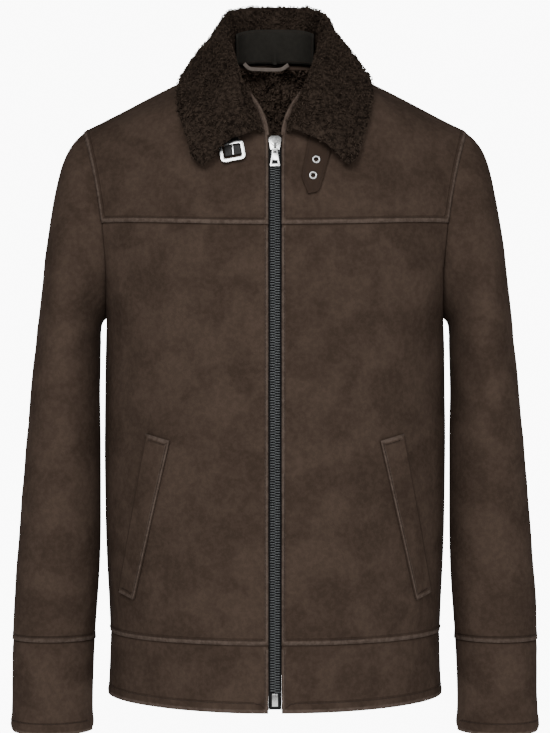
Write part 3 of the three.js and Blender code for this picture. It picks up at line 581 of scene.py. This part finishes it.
def weave_material(name, thread):
    """Woven cloth: two crossed sets of threads, thread metres wide."""
    tree, shader, place = new_material(name, Roughness=0.85, Specular_IOR_Level=0.25)
    inputs = {"Vector": place, "Scale": WAVE_BAND / thread / 2, "Distortion": 0.6, "Detail": 1.0}
    waves = [(add(tree, "ShaderNodeTexWave", inputs, bands_direction=way), "Fac") for way in ("X", "Z")]
    height = maths(tree, "MAXIMUM", *waves)
    level = maths(tree, "MULTIPLY", height, noise_of(tree, place, 0.006))
    dress(tree, shader, blend_colour(tree, level, *STUFFS[name]), raised(tree, height, 0.5, 0.0003))


def metal_material(name, colour, roughness, scratches):
    """Plated metal with fine scratches and a slightly clouded shine."""
    tree, shader, place = new_material(name, Metallic=1.0)
    cloud = noise_of(tree, place, 0.004, detail=4.0)
    feed(tree, maths(tree, "MULTIPLY_ADD", cloud, roughness, roughness * 0.5), shader, "Roughness")
    tone = blend_colour(tree, cloud, [c * 0.78 for c in colour], colour)
    fine = noise_of(tree, place, 0.0005, detail=2.0, distortion=2.0)
    dress(tree, shader, tone, raised(tree, fine, scratches, 0.0001))


def leather_material(name):
    """Black strap leather with a fine grain."""
    tree, shader, place = new_material(name, Roughness=0.5, Specular_IOR_Level=0.4)
    cells = add(tree, "ShaderNodeTexVoronoi", {"Vector": place, "Scale": 900.0}, feature="DISTANCE_TO_EDGE")
    pores = ramp(tree, (cells, "Distance"), 0.0, 0.22)
    colour = blend_colour(tree, noise_of(tree, place, 0.007), *STUFFS[name])
    dress(tree, shader, colour, raised(tree, pores, 0.4, 0.0003))


def thread_material(look):
    """Twisted thread, a little lighter than the suede."""
    tree, shader, place = new_material("thread", Roughness=0.7, Specular_IOR_Level=0.3)
    twist = noise_of(tree, place, 0.0008, detail=1.0)
    colour = blend_colour(tree, twist, [c * 0.6 for c in look.colour], look.colour)
    dress(tree, shader, colour, raised(tree, twist, 0.4, 0.0002))


def floor_material(name):
    """A plain pale floor with a faint unevenness."""
    tree, shader, place = new_material(name, Roughness=0.9, Emission_Strength=0.5, Emission_Color=(1, 1, 1, 1))
    dress(tree, shader, blend_colour(tree, noise_of(tree, place, 0.6), *STUFFS[name]))


# Skins

OUTER, INNER, CUT = range(3)  # the faces of a wall, as material indices


def mark_regions(piece, faces_front=False, sharp=math.radians(50)):
    """Splits a wall into its outer face, inner face and cut edges, and creases the edges between them. The outer
    face is the larger one, or the one towards the front."""
    made = bmesh.new()
    made.from_mesh(piece.data)
    crease = made.edges.layers.float.new("crease_edge")
    for edge in made.edges:
        if len(edge.link_faces) != 2 or edge.calc_face_angle(0) > sharp:
            edge[crease] = 1
    seen, regions = set(), []
    for face in made.faces:
        if face in seen:
            continue
        region, queue = [], [face]
        seen.add(face)
        while queue:
            here = queue.pop()
            region.append(here)
            for edge in here.edges:
                if edge[crease] < 1:
                    fresh = [other for other in edge.link_faces if other not in seen]
                    seen.update(fresh)
                    queue += fresh
        regions.append(region)
    regions.sort(key=lambda faces: -sum(face.calc_area() for face in faces))
    if faces_front and sum(face.normal.y * face.calc_area() for face in regions[0]) > 0:
        regions[0], regions[1] = regions[1], regions[0]
    for place, region in enumerate(regions):
        for face in region:
            face.material_index = min(place, CUT)
    made.to_mesh(piece.data)
    made.free()


def subdivided(piece, levels):
    """Subdivides a piece with a surface that keeps its creased edges."""
    only(piece)
    smooth = piece.modifiers.new("smooth", "SUBSURF")
    smooth.levels = smooth.render_levels = levels
    bpy.ops.object.modifier_apply(modifier=smooth.name)


def regions_of(mesh):
    """For each point, whether it touches an outer, inner and cut face, and each cut face's outward direction
    there."""
    count = len(mesh.vertices)
    touches = np.zeros((3, count), bool)
    facing = np.zeros((count, 3))
    for face in mesh.polygons:
        ids = list(face.vertices)
        touches[face.material_index, ids] = True
        if face.material_index == CUT:
            facing[ids] += np.array(face.normal)
    length = np.linalg.norm(facing, axis=1)
    facing[length > 0] /= length[length > 0, None]
    return touches, facing


def side_of(direction, half):
    """Which of the four sides an edge that faces this way is on."""
    inward = -half * direction[0]
    if abs(direction[2]) > 0.62:
        return "up" if direction[2] > 0 else "down"
    return "inward" if inward > 0.35 else "outward"


def crease_depth(points, rows, half, side_name):
    """How far each point lies under the plain surface, in mm, from the table of creases."""
    depth = np.zeros(len(points))
    x = points[:, 0] * half * 1000
    z = points[:, 2] * 1000
    for row in rows:
        if row.only not in (None, side_name):
            continue
        start, stop = np.array(row.start, float), np.array(row.stop, float)
        along = stop - start
        share = ((x - start[0]) * along[0] + (z - start[1]) * along[1]) / (along @ along)
        near = np.clip(share, 0, 1)
        bent = 5 * np.sin(near * np.pi)
        off_x = x - start[0] - near * along[0] + bent * 0.5
        off_z = z - start[1] - near * along[1] + bent
        reach = row.width * (0.7 + 0.6 * near)
        off = np.hypot(off_x, off_z) / reach
        ends = fade(share, -0.25, 0.2) * (1 - fade(share, 0.75, 1.25))
        facing = fade(-points[:, 1] if row.view == "front" else points[:, 1], 0.0, 0.03)
        depth += row.depth * np.exp(-off * off) * ends * facing
    return depth


def unevenness(points, size, amount):
    """A soft random swell of the surface, in mm."""
    scale = 1 / size
    return np.array([noise.noise(Vector(p) * scale) for p in points]) * amount


def tree_of(points, indices):
    """A search tree of some of the points."""
    tree = kdtree.KDTree(len(indices))
    for index in indices:
        tree.insert(points[index], int(index))
    tree.balance()
    return tree


def shape_skin(piece, key, half, side_name):
    """Lifts the lips of seams, presses in the creases and stores the distances that the suede reads."""
    edges = SKINS[key]
    mesh = piece.data
    points, normals = points_of(mesh), normals_of(mesh)
    touches, facing = regions_of(mesh)
    outer = touches[OUTER]
    rim = np.flatnonzero(outer & touches[CUT])
    tree = tree_of(points, rim)
    sides = {int(index): side_of(facing[index], half) for index in rim}
    edge = np.full(len(points), FAR)
    row = np.full(len(points), FAR)
    over = np.zeros(len(points))
    lift = np.zeros(len(points))
    for index in np.flatnonzero(outer):
        _, near, distance = tree.find(points[index])
        seam = SEAMS[edges[sides[near]]]
        gap = distance * 1000
        edge[index] = min(gap, FAR)
        if seam["row"] is not None:
            row[index] = gap - seam["row"]
        over[index] = 1.0 if seam["lift"] > 0 else 0.0
        inside = max(0.0, 1 - gap / seam["breadth"])
        if seam["lift"] > 0:
            inside = min(1.0, inside * 2.2) * (0.55 + 0.45 * min(1.0, gap / 1.5))
        else:
            inside *= inside
        lift[index] = seam["lift"] * inside
    swell = sum(unevenness(points, *form) for form in SKIN_SWELLS)
    far = fade(edge, 4, 26)
    depth = crease_depth(points, CREASES[key], half, side_name)
    soft = (swell * SWELL_SHARE - depth) * (EDGE_SHARE + (1 - EDGE_SHARE) * far)
    shifted = points.copy()
    shifted[outer] += normals[outer] * ((soft + lift)[outer, None] * MM)
    nearest = tree_of(points, np.flatnonzero(outer))
    for index in np.flatnonzero(~outer):
        _, near, _ = nearest.find(points[index])
        shifted[index] += normals[near] * (soft[near] * MM)
    closed = [i for i in np.flatnonzero(touches[CUT]) if edges[side_of(facing[i], half)] in CLOSED]
    shifted[closed] += facing[closed] * CLOSING
    if key in ("back", "hem_band_back"):
        shifted[np.abs(points[:, 0]) < 0.0006, 0] = -half * CLOSING / 2
    set_points(mesh, shifted)
    for name, values in (("edge", edge), ("row", row), ("over", over)):
        store(mesh, name, values)


def rim_lines(piece, half):
    """The rims of a skin's outer face, as lists of (point, direction out of the piece, side)."""
    mesh = piece.data
    points = points_of(mesh)
    touches, facing = regions_of(mesh)
    made = bmesh.new()
    made.from_mesh(mesh)
    links = {}
    for edge in made.edges:
        if {face.material_index for face in edge.link_faces} == {OUTER, CUT}:
            a, b = (vertex.index for vertex in edge.verts)
            links.setdefault(a, []).append(b)
            links.setdefault(b, []).append(a)
    made.free()
    lines, left = [], set(links)
    while left:
        start = left.pop()
        line, here = [start], start
        while True:
            ahead = [other for other in links[here] if other in left]
            if not ahead:
                break
            here = ahead[0]
            left.discard(here)
            line.append(here)
        if len(line) > 8:
            line.append(line[0])
            lines.append([(points[i], facing[i], side_of(facing[i], half)) for i in line])
    return lines


def stitch_places(piece, edges, half, pitch):
    """Where the stitches of a skin lie: (point, direction along the row, normal) for each."""
    mesh = piece.data
    points = points_of(mesh)
    faces = [tuple(face.vertices) for face in mesh.polygons if face.material_index == OUTER]
    surface = BVHTree.FromPolygons([Vector(p) for p in points], faces)
    places = []
    for line in rim_lines(piece, half):
        for side in SIDES:
            row = SEAMS[edges[side]]["row"]
            if row is None:
                continue
            run = []
            for point, out, where in [*line, (None, None, None)]:
                if where == side:
                    run.append(point - out * row * MM)
                    continue
                if len(run) > 3:
                    places += along_run(run, surface, pitch)
                run = []
    return places


def along_run(run, surface, pitch):
    """Even places along a row of points, laid on a surface."""
    laid = np.array([surface.find_nearest(Vector(p))[0] for p in run])
    steps = np.linalg.norm(np.diff(laid, axis=0), axis=1)
    travelled = np.concatenate([[0], np.cumsum(steps)])
    places = []
    for step in range(1, int(travelled[-1] / pitch)):
        spot, ahead = (
            np.array([np.interp(at, travelled, laid[:, axis]) for axis in range(3)])
            for at in (step * pitch, step * pitch + pitch / 2)
        )
        place, normal, _, _ = surface.find_nearest(Vector(spot))
        places.append((np.array(place), ahead - spot, np.array(normal)))
    return places


def seated(piece, node=None, body="coat"):
    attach(piece, body)
    if node:
        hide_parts(node)


def base_stitch(look):
    """One thread stitch, lying along x with its underside at nought."""
    bpy.ops.object.select_all(action="DESELECT")
    bpy.ops.mesh.primitive_cylinder_add(
        vertices=5, radius=look.thickness / 2, depth=look.stitch, rotation=(0, math.pi / 2, 0)
    )
    stitch = bpy.context.object
    settled(stitch)
    bpy.ops.object.mode_set(mode="EDIT")
    bpy.ops.mesh.select_all(action="SELECT")
    bpy.ops.transform.resize(value=(1, 1, 0.72))
    bpy.ops.mesh.bevel(offset=look.thickness * 0.2, segments=1, affect="EDGES")
    bpy.ops.object.mode_set(mode="OBJECT")
    return stitch


def stamped(name, pattern, places, sink=0.0):
    """One mesh of copies of a pattern: x along each place's direction and z along its normal. The pattern goes."""
    source = points_of(pattern.data)
    faces = [tuple(face.vertices) for face in pattern.data.polygons]
    bpy.data.objects.remove(pattern)
    points, joined = [], []
    for spot, ahead, normal in places:
        z = normal / np.linalg.norm(normal)
        x = ahead - z * (ahead @ z)
        x /= np.linalg.norm(x)
        start = len(points) * len(source)
        points.append(source @ np.array([x, np.cross(z, x), z]) + spot + z * sink)
        joined += [tuple(start + corner for corner in face) for face in faces]
    return new_object(name, np.concatenate(points), joined)


def sewn_rows(name, piece, edges, half, closer=1.0):
    """A list of the stitches along a piece's sewn edges, which is empty where none is sewn."""
    look = bpy.context.scene.coat_thread
    places = stitch_places(piece, edges, half, look.pitch * closer)
    if not places:
        return []
    rows = stamped(f"stitches_{name}", base_stitch(look), places, sink=look.thickness * 0.1)
    rows.data.materials.append(MADE["thread"])
    seated(rows)
    return [rows]


def make_skin(key, side_name):
    """One skin of one half of the coat, with its stitches."""
    form = SKINS[key]
    half = 1 if side_name == "left" else -1
    node = f"{key}_{side_name}"
    piece = copy_of(node, f"skin_{node}")
    mark_regions(piece, faces_front=key == "pocket_welt")
    subdivided(piece, form["levels"])
    shape_skin(piece, key, half, side_name)
    piece.data.shade_smooth()
    for name in ("suede", "inner wool painted lighter", "cut edge"):
        piece.data.materials.append(MADE[name])
    seated(piece, node)
    sewn = sewn_rows(node, piece, form, half)


class COAT_OT_materials(bpy.types.Operator):
    """Makes the coat's materials from its settings"""

    bl_idname = "coat.materials"
    bl_label = "Materials"

    def execute(self, context):
        scene = context.scene
        suede_material(scene.coat_suede)
        cut_material(scene.coat_suede)
        wool_material("wool", scene.coat_wool)
        # A lighter copy of the collar wool: painted light for the wool inside the coat, which lies in shade.
        wool_material("inner wool painted lighter", scene.coat_wool, INNER_PAINTED_LIGHT)
        for name, thread in THREADS.items():
            weave_material(name, thread)
        metal_material("tooth steel", scene.coat_zip.steel, 0.35, 0.3)
        metal_material("nickel", scene.coat_zip.nickel, 0.28, 0.12)
        leather_material("black leather")
        thread_material(scene.coat_thread)
        floor_material("pale floor")
        return {"FINISHED"}


class COAT_OT_skins(bpy.types.Operator):
    """Makes every suede skin, with its seams and creases, and the stitches along them"""

    bl_idname = "coat.skins"
    bl_label = "Skins and stitches"

    def execute(self, context):
        for key in SKINS:
            for side_name in ("left", "right"):
                make_skin(key, side_name)
        return {"FINISHED"}


# Wool

def tube_faces(rings, corners):
    """The faces along a tube of so many rings of points."""
    faces = []
    for start in range(0, (rings - 1) * corners, corners):
        for corner in range(corners):
            after = (corner + 1) % corners
            faces.append((start + corner, start + after, start + corners + after, start + corners + corner))
    return faces


def curl_pattern(sections=5, corners=3):
    """One lock of wool about 1 across: a tapering tube that rises and curls over, with its share from root to
    tip for each point."""
    points, shares = [], []
    for share in (step / (sections - 1) for step in range(sections)):
        turn = math.radians(285) * share
        centre = Vector((0.42 * math.sin(turn), 0.30 * share, 0.33 - 0.42 * math.cos(turn)))
        out = Vector((math.sin(turn), 0, -math.cos(turn)))
        thick = 0.17 - 0.08 * share
        for corner in range(corners):
            angle = 2 * math.pi * corner / corners
            points.append(centre + out * thick * math.cos(angle) + Vector((0, thick * math.sin(angle), 0)))
            shares.append(share)
    faces = [*tube_faces(sections, corners), tuple(range(len(points) - corners, len(points)))]
    return np.array(points), faces, np.array(shares)


def open_places(mesh, region, spacing, seed, keep, room):
    """Even random places on a region of a mesh, or on all of it, with room metres free outward."""
    rng = np.random.default_rng(seed)
    blockers, band = cad_surface("collar", "front", "back"), cad_surface("neck_band")
    points = points_of(mesh)
    mesh.calc_loop_triangles()
    triangles = np.array([
        tri.vertices[:] for tri in mesh.loop_triangles if region is None or tri.material_index == region
    ])
    a, b, c = (points[triangles[:, corner]] for corner in range(3))
    cross = np.cross(b - a, c - a)
    area = np.linalg.norm(cross, axis=1) / 2
    count = int(area.sum() / spacing**2)
    chosen = rng.choice(len(triangles), count, p=area / area.sum())
    first, second = rng.random(count), rng.random(count)
    over = first + second > 1
    first[over], second[over] = 1 - first[over], 1 - second[over]
    spots = a[chosen] + (b - a)[chosen] * first[:, None] + (c - a)[chosen] * second[:, None]
    normals = cross[chosen] / (2 * area[chosen, None])
    turns = rng.normal(size=(count, 3)) + np.array([0, 0, FALL])
    places = []
    for spot, normal, turn in zip(spots, normals, turns):
        if not keep(spot):
            continue
        tilted = normal + rng.normal(size=3) * LEAN
        hidden = blockers.ray_cast(Vector(spot + normal * ROOM_FROM), Vector(normal), room)[0]
        if hidden is None and band.find_nearest(Vector(spot), BAND_ROOM)[0] is None:
            places.append((spot, turn, tilted))
    return places


def add_curls(name, places, size, seed, wool="wool"):
    """One mesh of curls of wool at these places."""
    rng = np.random.default_rng(seed)
    source, faces, shares = curl_pattern()
    count = len(places)
    spots, turns, ups = (np.array([place[part] for place in places]) for part in range(3))
    z = ups / np.linalg.norm(ups, axis=1, keepdims=True)
    x = turns - z * np.sum(turns * z, axis=1, keepdims=True)
    x /= np.linalg.norm(x, axis=1, keepdims=True)
    grown = size * rng.uniform(*CURL_SIZES, count)
    frames = np.stack([x, np.cross(z, x), z], axis=1)
    points = np.einsum("pk,nkj->npj", source, frames) * grown[:, None, None] + spots[:, None, :]
    points -= z[:, None, :] * size * FOOT
    starts = range(0, count * len(source), len(source))
    joined = [tuple(start + corner for corner in face) for start in starts for face in faces]
    curls = new_object(name, points.reshape(-1, 3), joined)
    # Painted shade darker towards each curl's root, plus a random tone for each lock.
    pile_shade_and_tint = np.clip(shares[None, :] * 0.55 + rng.uniform(0.0, 0.5, (count, 1)), 0, 1)
    store(curls.data, "pile_shade_and_tint", pile_shade_and_tint.ravel())
    curls.data.materials.append(MADE[wool])
    seated(curls)
    return curls


def cad_surface(*starts):
    """The surface of the CAD solids whose names start so."""
    points, faces = [], []
    for name, node in frame["nodes"].items():
        if name.startswith(starts):
            start = len(points)
            points += [v.co.copy() for v in node.data.vertices]
            faces += [tuple(start + corner for corner in face.vertices) for face in node.data.polygons]
    return BVHTree.FromPolygons(points, faces)


def make_collar(look):
    """The collar with its pile, in four lots of curls."""
    piece = copy_of("collar", "collar_hide")
    subdivided(piece, 2)
    mesh = piece.data
    points, normals = points_of(mesh), normals_of(mesh)
    lumps = sum(unevenness(points, *form) for form in COLLAR_SWELLS) - COLLAR_SUNK
    set_points(mesh, points + normals * (lumps[:, None] * MM))
    # Painted shade: the hide under the curls is given a colour near the dark root.
    store(mesh, "pile_shade_and_tint", np.full(len(points), 0.12))
    mesh.shade_smooth()
    mesh.materials.append(MADE["wool"])
    seated(piece, "collar")
    for number, name in enumerate(("front_left", "front_right", "back_left", "back_right")):
        quarter = (name.endswith("left"), name.startswith("back"))
        places = open_places(
            mesh, None, look.spacing, 11 + number,
            lambda spot: (spot[0] >= 0, spot[1] >= 0) == quarter, COLLAR_ROOM,
        )
        add_curls(f"collar_wool_{name}", places, look.curl, 31 + number)


def make_inner_wool(look):
    """The pile inside the back of the neck."""
    for number, side_name in enumerate(("left", "right")):
        places = open_places(
            bpy.data.objects[f"skin_back_{side_name}"].data, INNER, look.spacing, 61 + number,
            lambda spot: spot[2] > INNER_FROM and abs(spot[0]) < INNER_HALF, INNER_ROOM,
        )
        add_curls(f"inner_wool_{side_name}", places, look.curl, 71 + number, wool="inner wool painted lighter")


class COAT_OT_collar(bpy.types.Operator):
    """Makes the collar and the pile inside the neck"""

    bl_idname = "coat.collar"
    bl_label = "Collar wool"

    def execute(self, context):
        look = context.scene.coat_wool
        make_collar(look)
        make_inner_wool(look)
        return {"FINISHED"}


# Small cloth and leather pieces

def make_flat(node, name, look, row=None, levels=2, swell=0.25):
    """A band, tape or strap, refined, with a row of stitches round its face if row names one."""
    piece = copy_of(node, name)
    mark_regions(piece, faces_front=True)
    subdivided(piece, levels)
    mesh = piece.data
    points, normals = points_of(mesh), normals_of(mesh)
    soft = unevenness(points, 0.012, swell)
    set_points(mesh, points + normals * (soft[:, None] * MM))
    mesh.shade_smooth()
    for _ in (OUTER, INNER, CUT):
        mesh.materials.append(MADE[look])
    seated(piece, node)
    sewn = sewn_rows(name, piece, dict.fromkeys(SIDES, row), 1, closer=0.85) if row else []
    return piece


def make_binding(side_name, rings=44, corners=10):
    """The narrow bound edge of the V, along the front edge of the neckline, with its sewn-down yoke."""
    half = 1 if side_name == "left" else -1
    rim = [
        point for line in rim_lines(bpy.data.objects[f"skin_front_yoke_{side_name}"], half) for point, _, _ in line
        if point[2] > V_FOOT and abs(point[0]) < V_HALF and point[1] < V_FRONT
    ]
    rim = np.array(sorted(rim, key=lambda point: point[2]))
    heights = np.linspace(rim[0, 2], rim[-1, 2], rings)
    path = np.stack([np.interp(heights, rim[:, 2], rim[:, axis]) for axis in range(3)], axis=1)
    for _ in range(4):
        path[1:-1] = (path[:-2] + 2 * path[1:-1] + path[2:]) / 4
    ahead = np.gradient(path, axis=0)
    ahead /= np.linalg.norm(ahead, axis=1, keepdims=True)
    out = np.cross(ahead, np.array([half, 0, 0.2]))
    out /= np.linalg.norm(out, axis=1, keepdims=True)
    broad = np.cross(ahead, out) * BINDING_BROAD
    angles = [2 * math.pi * corner / corners for corner in range(corners)]
    points = [
        path[ring] + BINDING_RADIUS * (math.cos(angle) * broad[ring] + math.sin(angle) * out[ring])
        for ring in range(rings) for angle in angles
    ]
    ends = [tuple(range(corners))[::-1], tuple(range(len(points) - corners, len(points)))]
    binding = new_object(f"neck_binding_{side_name}", points, tube_faces(rings, corners) + ends)
    # These values give the binding the painted lip highlight all over, and no painted shade.
    for name, value in (("edge", 2.0), ("row", 40.0), ("over", 1.0)):
        store(binding.data, name, np.full(len(points), value))
    binding.data.materials.append(MADE["suede"])
    seated(binding)


class COAT_OT_neck(bpy.types.Operator):
    """Makes the neck band, the hanger loop and the bound edges of the V"""

    bl_idname = "coat.neck"
    bl_label = "Neck band and loop"

    def execute(self, context):
        make_binding("left")
        make_binding("right")
        make_flat("neck_band", "neck_band_cloth", "lining", row="turned")
        # A flat size may not be under 10 mm, so the loop's real breadth of 4.5 mm shows only in its area.
        make_flat("hanger_loop", "hanger_loop_cloth", "loop cloth")
        return {"FINISHED"}


class COAT_OT_straps(bpy.types.Operator):
    """Makes the two collar straps, the buckle, its prong and the eyelets"""

    bl_idname = "coat.straps"
    bl_label = "Collar straps"

    def execute(self, context):
        # This strap stores no seam distances, so the suede's seam masks read it as a tucked edge and its painted shade
        # darkens the whole strap.
        make_flat(
            "eyelet_strap", "eyelet_strap_leather", "suede",
            row="turned",
        )
        make_flat(
            "buckle_strap", "buckle_strap_leather", "black leather",
        )
        for node in ("buckle_frame", "buckle_prong", "eyelet_1", "eyelet_2"):
            make_hard(node)
        return {"FINISHED"}


# Metal pieces

def make_hard(node, body="coat"):
    """A metal piece with its facets merged and its edges rounded."""
    piece = copy_of(node, f"{node}_metal")
    bpy.ops.object.mode_set(mode="EDIT")
    bpy.ops.mesh.select_all(action="SELECT")
    bpy.ops.mesh.dissolve_limited(angle_limit=math.radians(3))
    bpy.ops.object.mode_set(mode="OBJECT")
    bevel = piece.modifiers.new("round", "BEVEL")
    bevel.width = METAL[node] * MM
    bevel.segments = 3
    bevel.limit_method = "ANGLE"
    bevel.angle_limit = math.radians(32)
    bevel.use_clamp_overlap = True
    bpy.ops.object.modifier_apply(modifier=bevel.name)
    bpy.ops.object.shade_smooth_by_angle(angle=math.radians(38))
    piece.data.materials.append(MADE["nickel"])
    seated(piece, node, body)


def base_tooth(look):
    """One zip tooth: a bar from the tape with a narrower, lower head."""
    bpy.ops.object.select_all(action="DESELECT")
    bpy.ops.mesh.primitive_cube_add(size=1)
    tooth = bpy.context.object
    mesh = tooth.data
    long = look.tooth_long
    head = long * 0.7
    bpy.ops.transform.resize(value=(long * 0.8, look.tooth_tall, 0.0021))
    bpy.ops.transform.translate(value=(long * 0.4, 0, 0))
    settled(tooth)
    for vertex in mesh.vertices:
        vertex.select = vertex.co.x > head
    for part in (*mesh.edges, *mesh.polygons):
        part.select = all(mesh.vertices[v].co.x > head for v in part.vertices)
    bpy.ops.object.mode_set(mode="EDIT")
    bpy.ops.mesh.extrude_region_move(TRANSFORM_OT_translate={"value": (long * 0.2, 0, 0)})
    bpy.ops.transform.resize(value=(1, 0.6, 0.7))
    bpy.ops.mesh.select_all(action="SELECT")
    bpy.ops.mesh.bevel(offset=0.00028, segments=2, affect="EDGES")
    bpy.ops.object.mode_set(mode="OBJECT")
    tooth.data.shade_smooth()
    return tooth


def chain_line():
    """The middle of the chain as heights and depths, from its CAD solid."""
    points = points_of(frame["nodes"]["zip_chain"].data)
    heights = np.unique(points[:, 2].round(4))
    rows = [points[np.abs(points[:, 2] - height) < 0.0008] for height in heights]
    depths = [(row[:, 1].min() + row[:, 1].max()) / 2 for row in rows]
    return heights, np.array(depths)


def tooth_places(look, half):
    """Where the teeth of one tape stand."""
    heights, depths = chain_line()
    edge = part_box("zip_chain")[1][0]
    top, foot = heights[-1] - 0.001, heights[0] + 0.001
    at = top - (look.pitch / 2 if half < 0 else 0)
    places = []
    while at > foot:
        depth = np.interp(at, heights, depths)
        ahead = np.interp(at + 0.002, heights, depths) - np.interp(at - 0.002, heights, depths)
        normal = np.array([0, -0.004, -ahead])
        normal *= np.sign(-normal[1])
        places.append((np.array([half * edge, depth, at]), np.array([-half, 0.0, 0.0]), normal))
        at -= look.pitch
    return places


class COAT_OT_zip(bpy.types.Operator):
    """Makes the zip: tapes, teeth, end box, slider and pull tab"""

    bl_idname = "coat.zip"
    bl_label = "Zip"

    def execute(self, context):
        look = context.scene.coat_zip
        # A flat size may not be under 10 mm: 7 mm of each tape shows, and its area says so.
        for side_name in ("left", "right"):
            tape = make_flat(
                f"zip_tape_{side_name}", f"zip_tape_{side_name}_cloth", "zip tape",
                levels=1, swell=0.05,
            )
            points = points_of(tape.data)
            points[np.abs(points[:, 0]) < 0.0008, 0] = 0
            set_points(tape.data, points)
        teeth = stamped("zip_teeth", base_tooth(look), tooth_places(look, 1) + tooth_places(look, -1))
        teeth.data.materials.append(MADE["tooth steel"])
        seated(teeth, "zip_chain")
        make_hard("zip_end_box")
        make_hard("zip_slider")
        make_hard("zip_pull_tab", body="pull_tab")
        return {"FINISHED"}

# Stage

def soft_light(name, place, target, size, power):
    """A large square light at a place, turned to a target."""
    light = bpy.data.lights.new(name, "AREA")
    light.shape = "SQUARE"
    light.size = size
    light.energy = power
    lamp = bpy.data.objects.new(name, light)
    bpy.context.collection.objects.link(lamp)
    lamp.location = place
    lamp.rotation_euler = (Vector(target) - Vector(place)).to_track_quat("-Z", "Y").to_euler()


class COAT_OT_stage(bpy.types.Operator):
    """Makes the floor, the light and the camera"""

    bl_idname = "coat.stage"
    bl_label = "Stage"

    def execute(self, context):
        look = context.scene.coat_stage
        corners = ((-1, -1), (1, -1), (1, 1), (-1, 1))
        points = [(x * FLOOR_REACH, y * FLOOR_REACH, look.floor) for x, y in corners]
        floor = new_object("floor", points, [(0, 1, 2, 3)])
        floor.data.materials.append(MADE["pale floor"])
        world = bpy.data.worlds.new("pale room")
        world.use_nodes = True
        tree = world.node_tree
        room = tree.nodes["Background"]
        feed(tree, (1, 1, 1, 1), room, "Color")
        seen = add(tree, "ShaderNodeLightPath"), "Is Camera Ray"
        strength = add(tree, "ShaderNodeMapRange", {0: seen, 3: look.room_light, 4: look.backdrop}), 0
        feed(tree, strength, room, "Strength")
        context.scene.world = world
        for name, (place, size, power) in LIGHTS.items():
            soft_light(name, place, (0, 0, look.height), size, power)
        camera = bpy.data.cameras.new("camera")
        camera.sensor_fit = "VERTICAL"
        camera.angle_y = 2 * math.atan(look.half_view / look.distance)
        camera.clip_end = 100
        holder = bpy.data.objects.new("camera", camera)
        context.collection.objects.link(holder)
        holder.location = (0, -look.distance, look.height)
        holder.rotation_euler = (math.pi / 2, 0, 0)
        context.scene.camera = holder
        return {"FINISHED"}

class COAT_PT_sidebar(bpy.types.Panel):
    """Lists the steps that make the coat and their settings"""

    bl_idname = "COAT_PT_sidebar"
    bl_label = "Shearling coat"
    bl_space_type = "VIEW_3D"
    bl_region_type = "UI"
    bl_category = "Coat"

    def draw(self, context):
        for operator in OPERATORS:
            self.layout.operator(operator.bl_idname)
        for name in SETTINGS:
            settings = getattr(context.scene, name)
            box = self.layout.box()
            for setting in settings.bl_rna.properties:
                if not setting.is_readonly and setting.identifier != "name":
                    box.prop(settings, setting.identifier)


SETTINGS = {
    "coat_suede": CoatSuede,
    "coat_wool": CoatWool,
    "coat_thread": CoatThread,
    "coat_zip": CoatZip,
    "coat_stage": CoatStage,
}
OPERATORS = (
    COAT_OT_materials,
    COAT_OT_skins,
    COAT_OT_collar,
    COAT_OT_neck,
    COAT_OT_straps,
    COAT_OT_zip,
    COAT_OT_stage,
)


def register():
    """Registers the settings, the steps and the sidebar."""
    for name, settings in SETTINGS.items():
        bpy.utils.register_class(settings)
        setattr(bpy.types.Scene, name, PointerProperty(type=settings))
    for operator in OPERATORS:
        bpy.utils.register_class(operator)
    bpy.utils.register_class(COAT_PT_sidebar)


def unregister():
    """Takes the settings, the steps and the sidebar away."""
    bpy.utils.unregister_class(COAT_PT_sidebar)
    for operator in reversed(OPERATORS):
        bpy.utils.unregister_class(operator)
    for name, settings in SETTINGS.items():
        delattr(bpy.types.Scene, name)
        bpy.utils.unregister_class(settings)


def main():
    """Makes the whole coat and its stage."""
    register()
    bpy.ops.coat.materials()
    bpy.ops.coat.skins()
    bpy.ops.coat.collar()
    bpy.ops.coat.neck()
    bpy.ops.coat.straps()
    bpy.ops.coat.zip()
    bpy.ops.coat.stage()


if __name__ == "__main__":
    main()
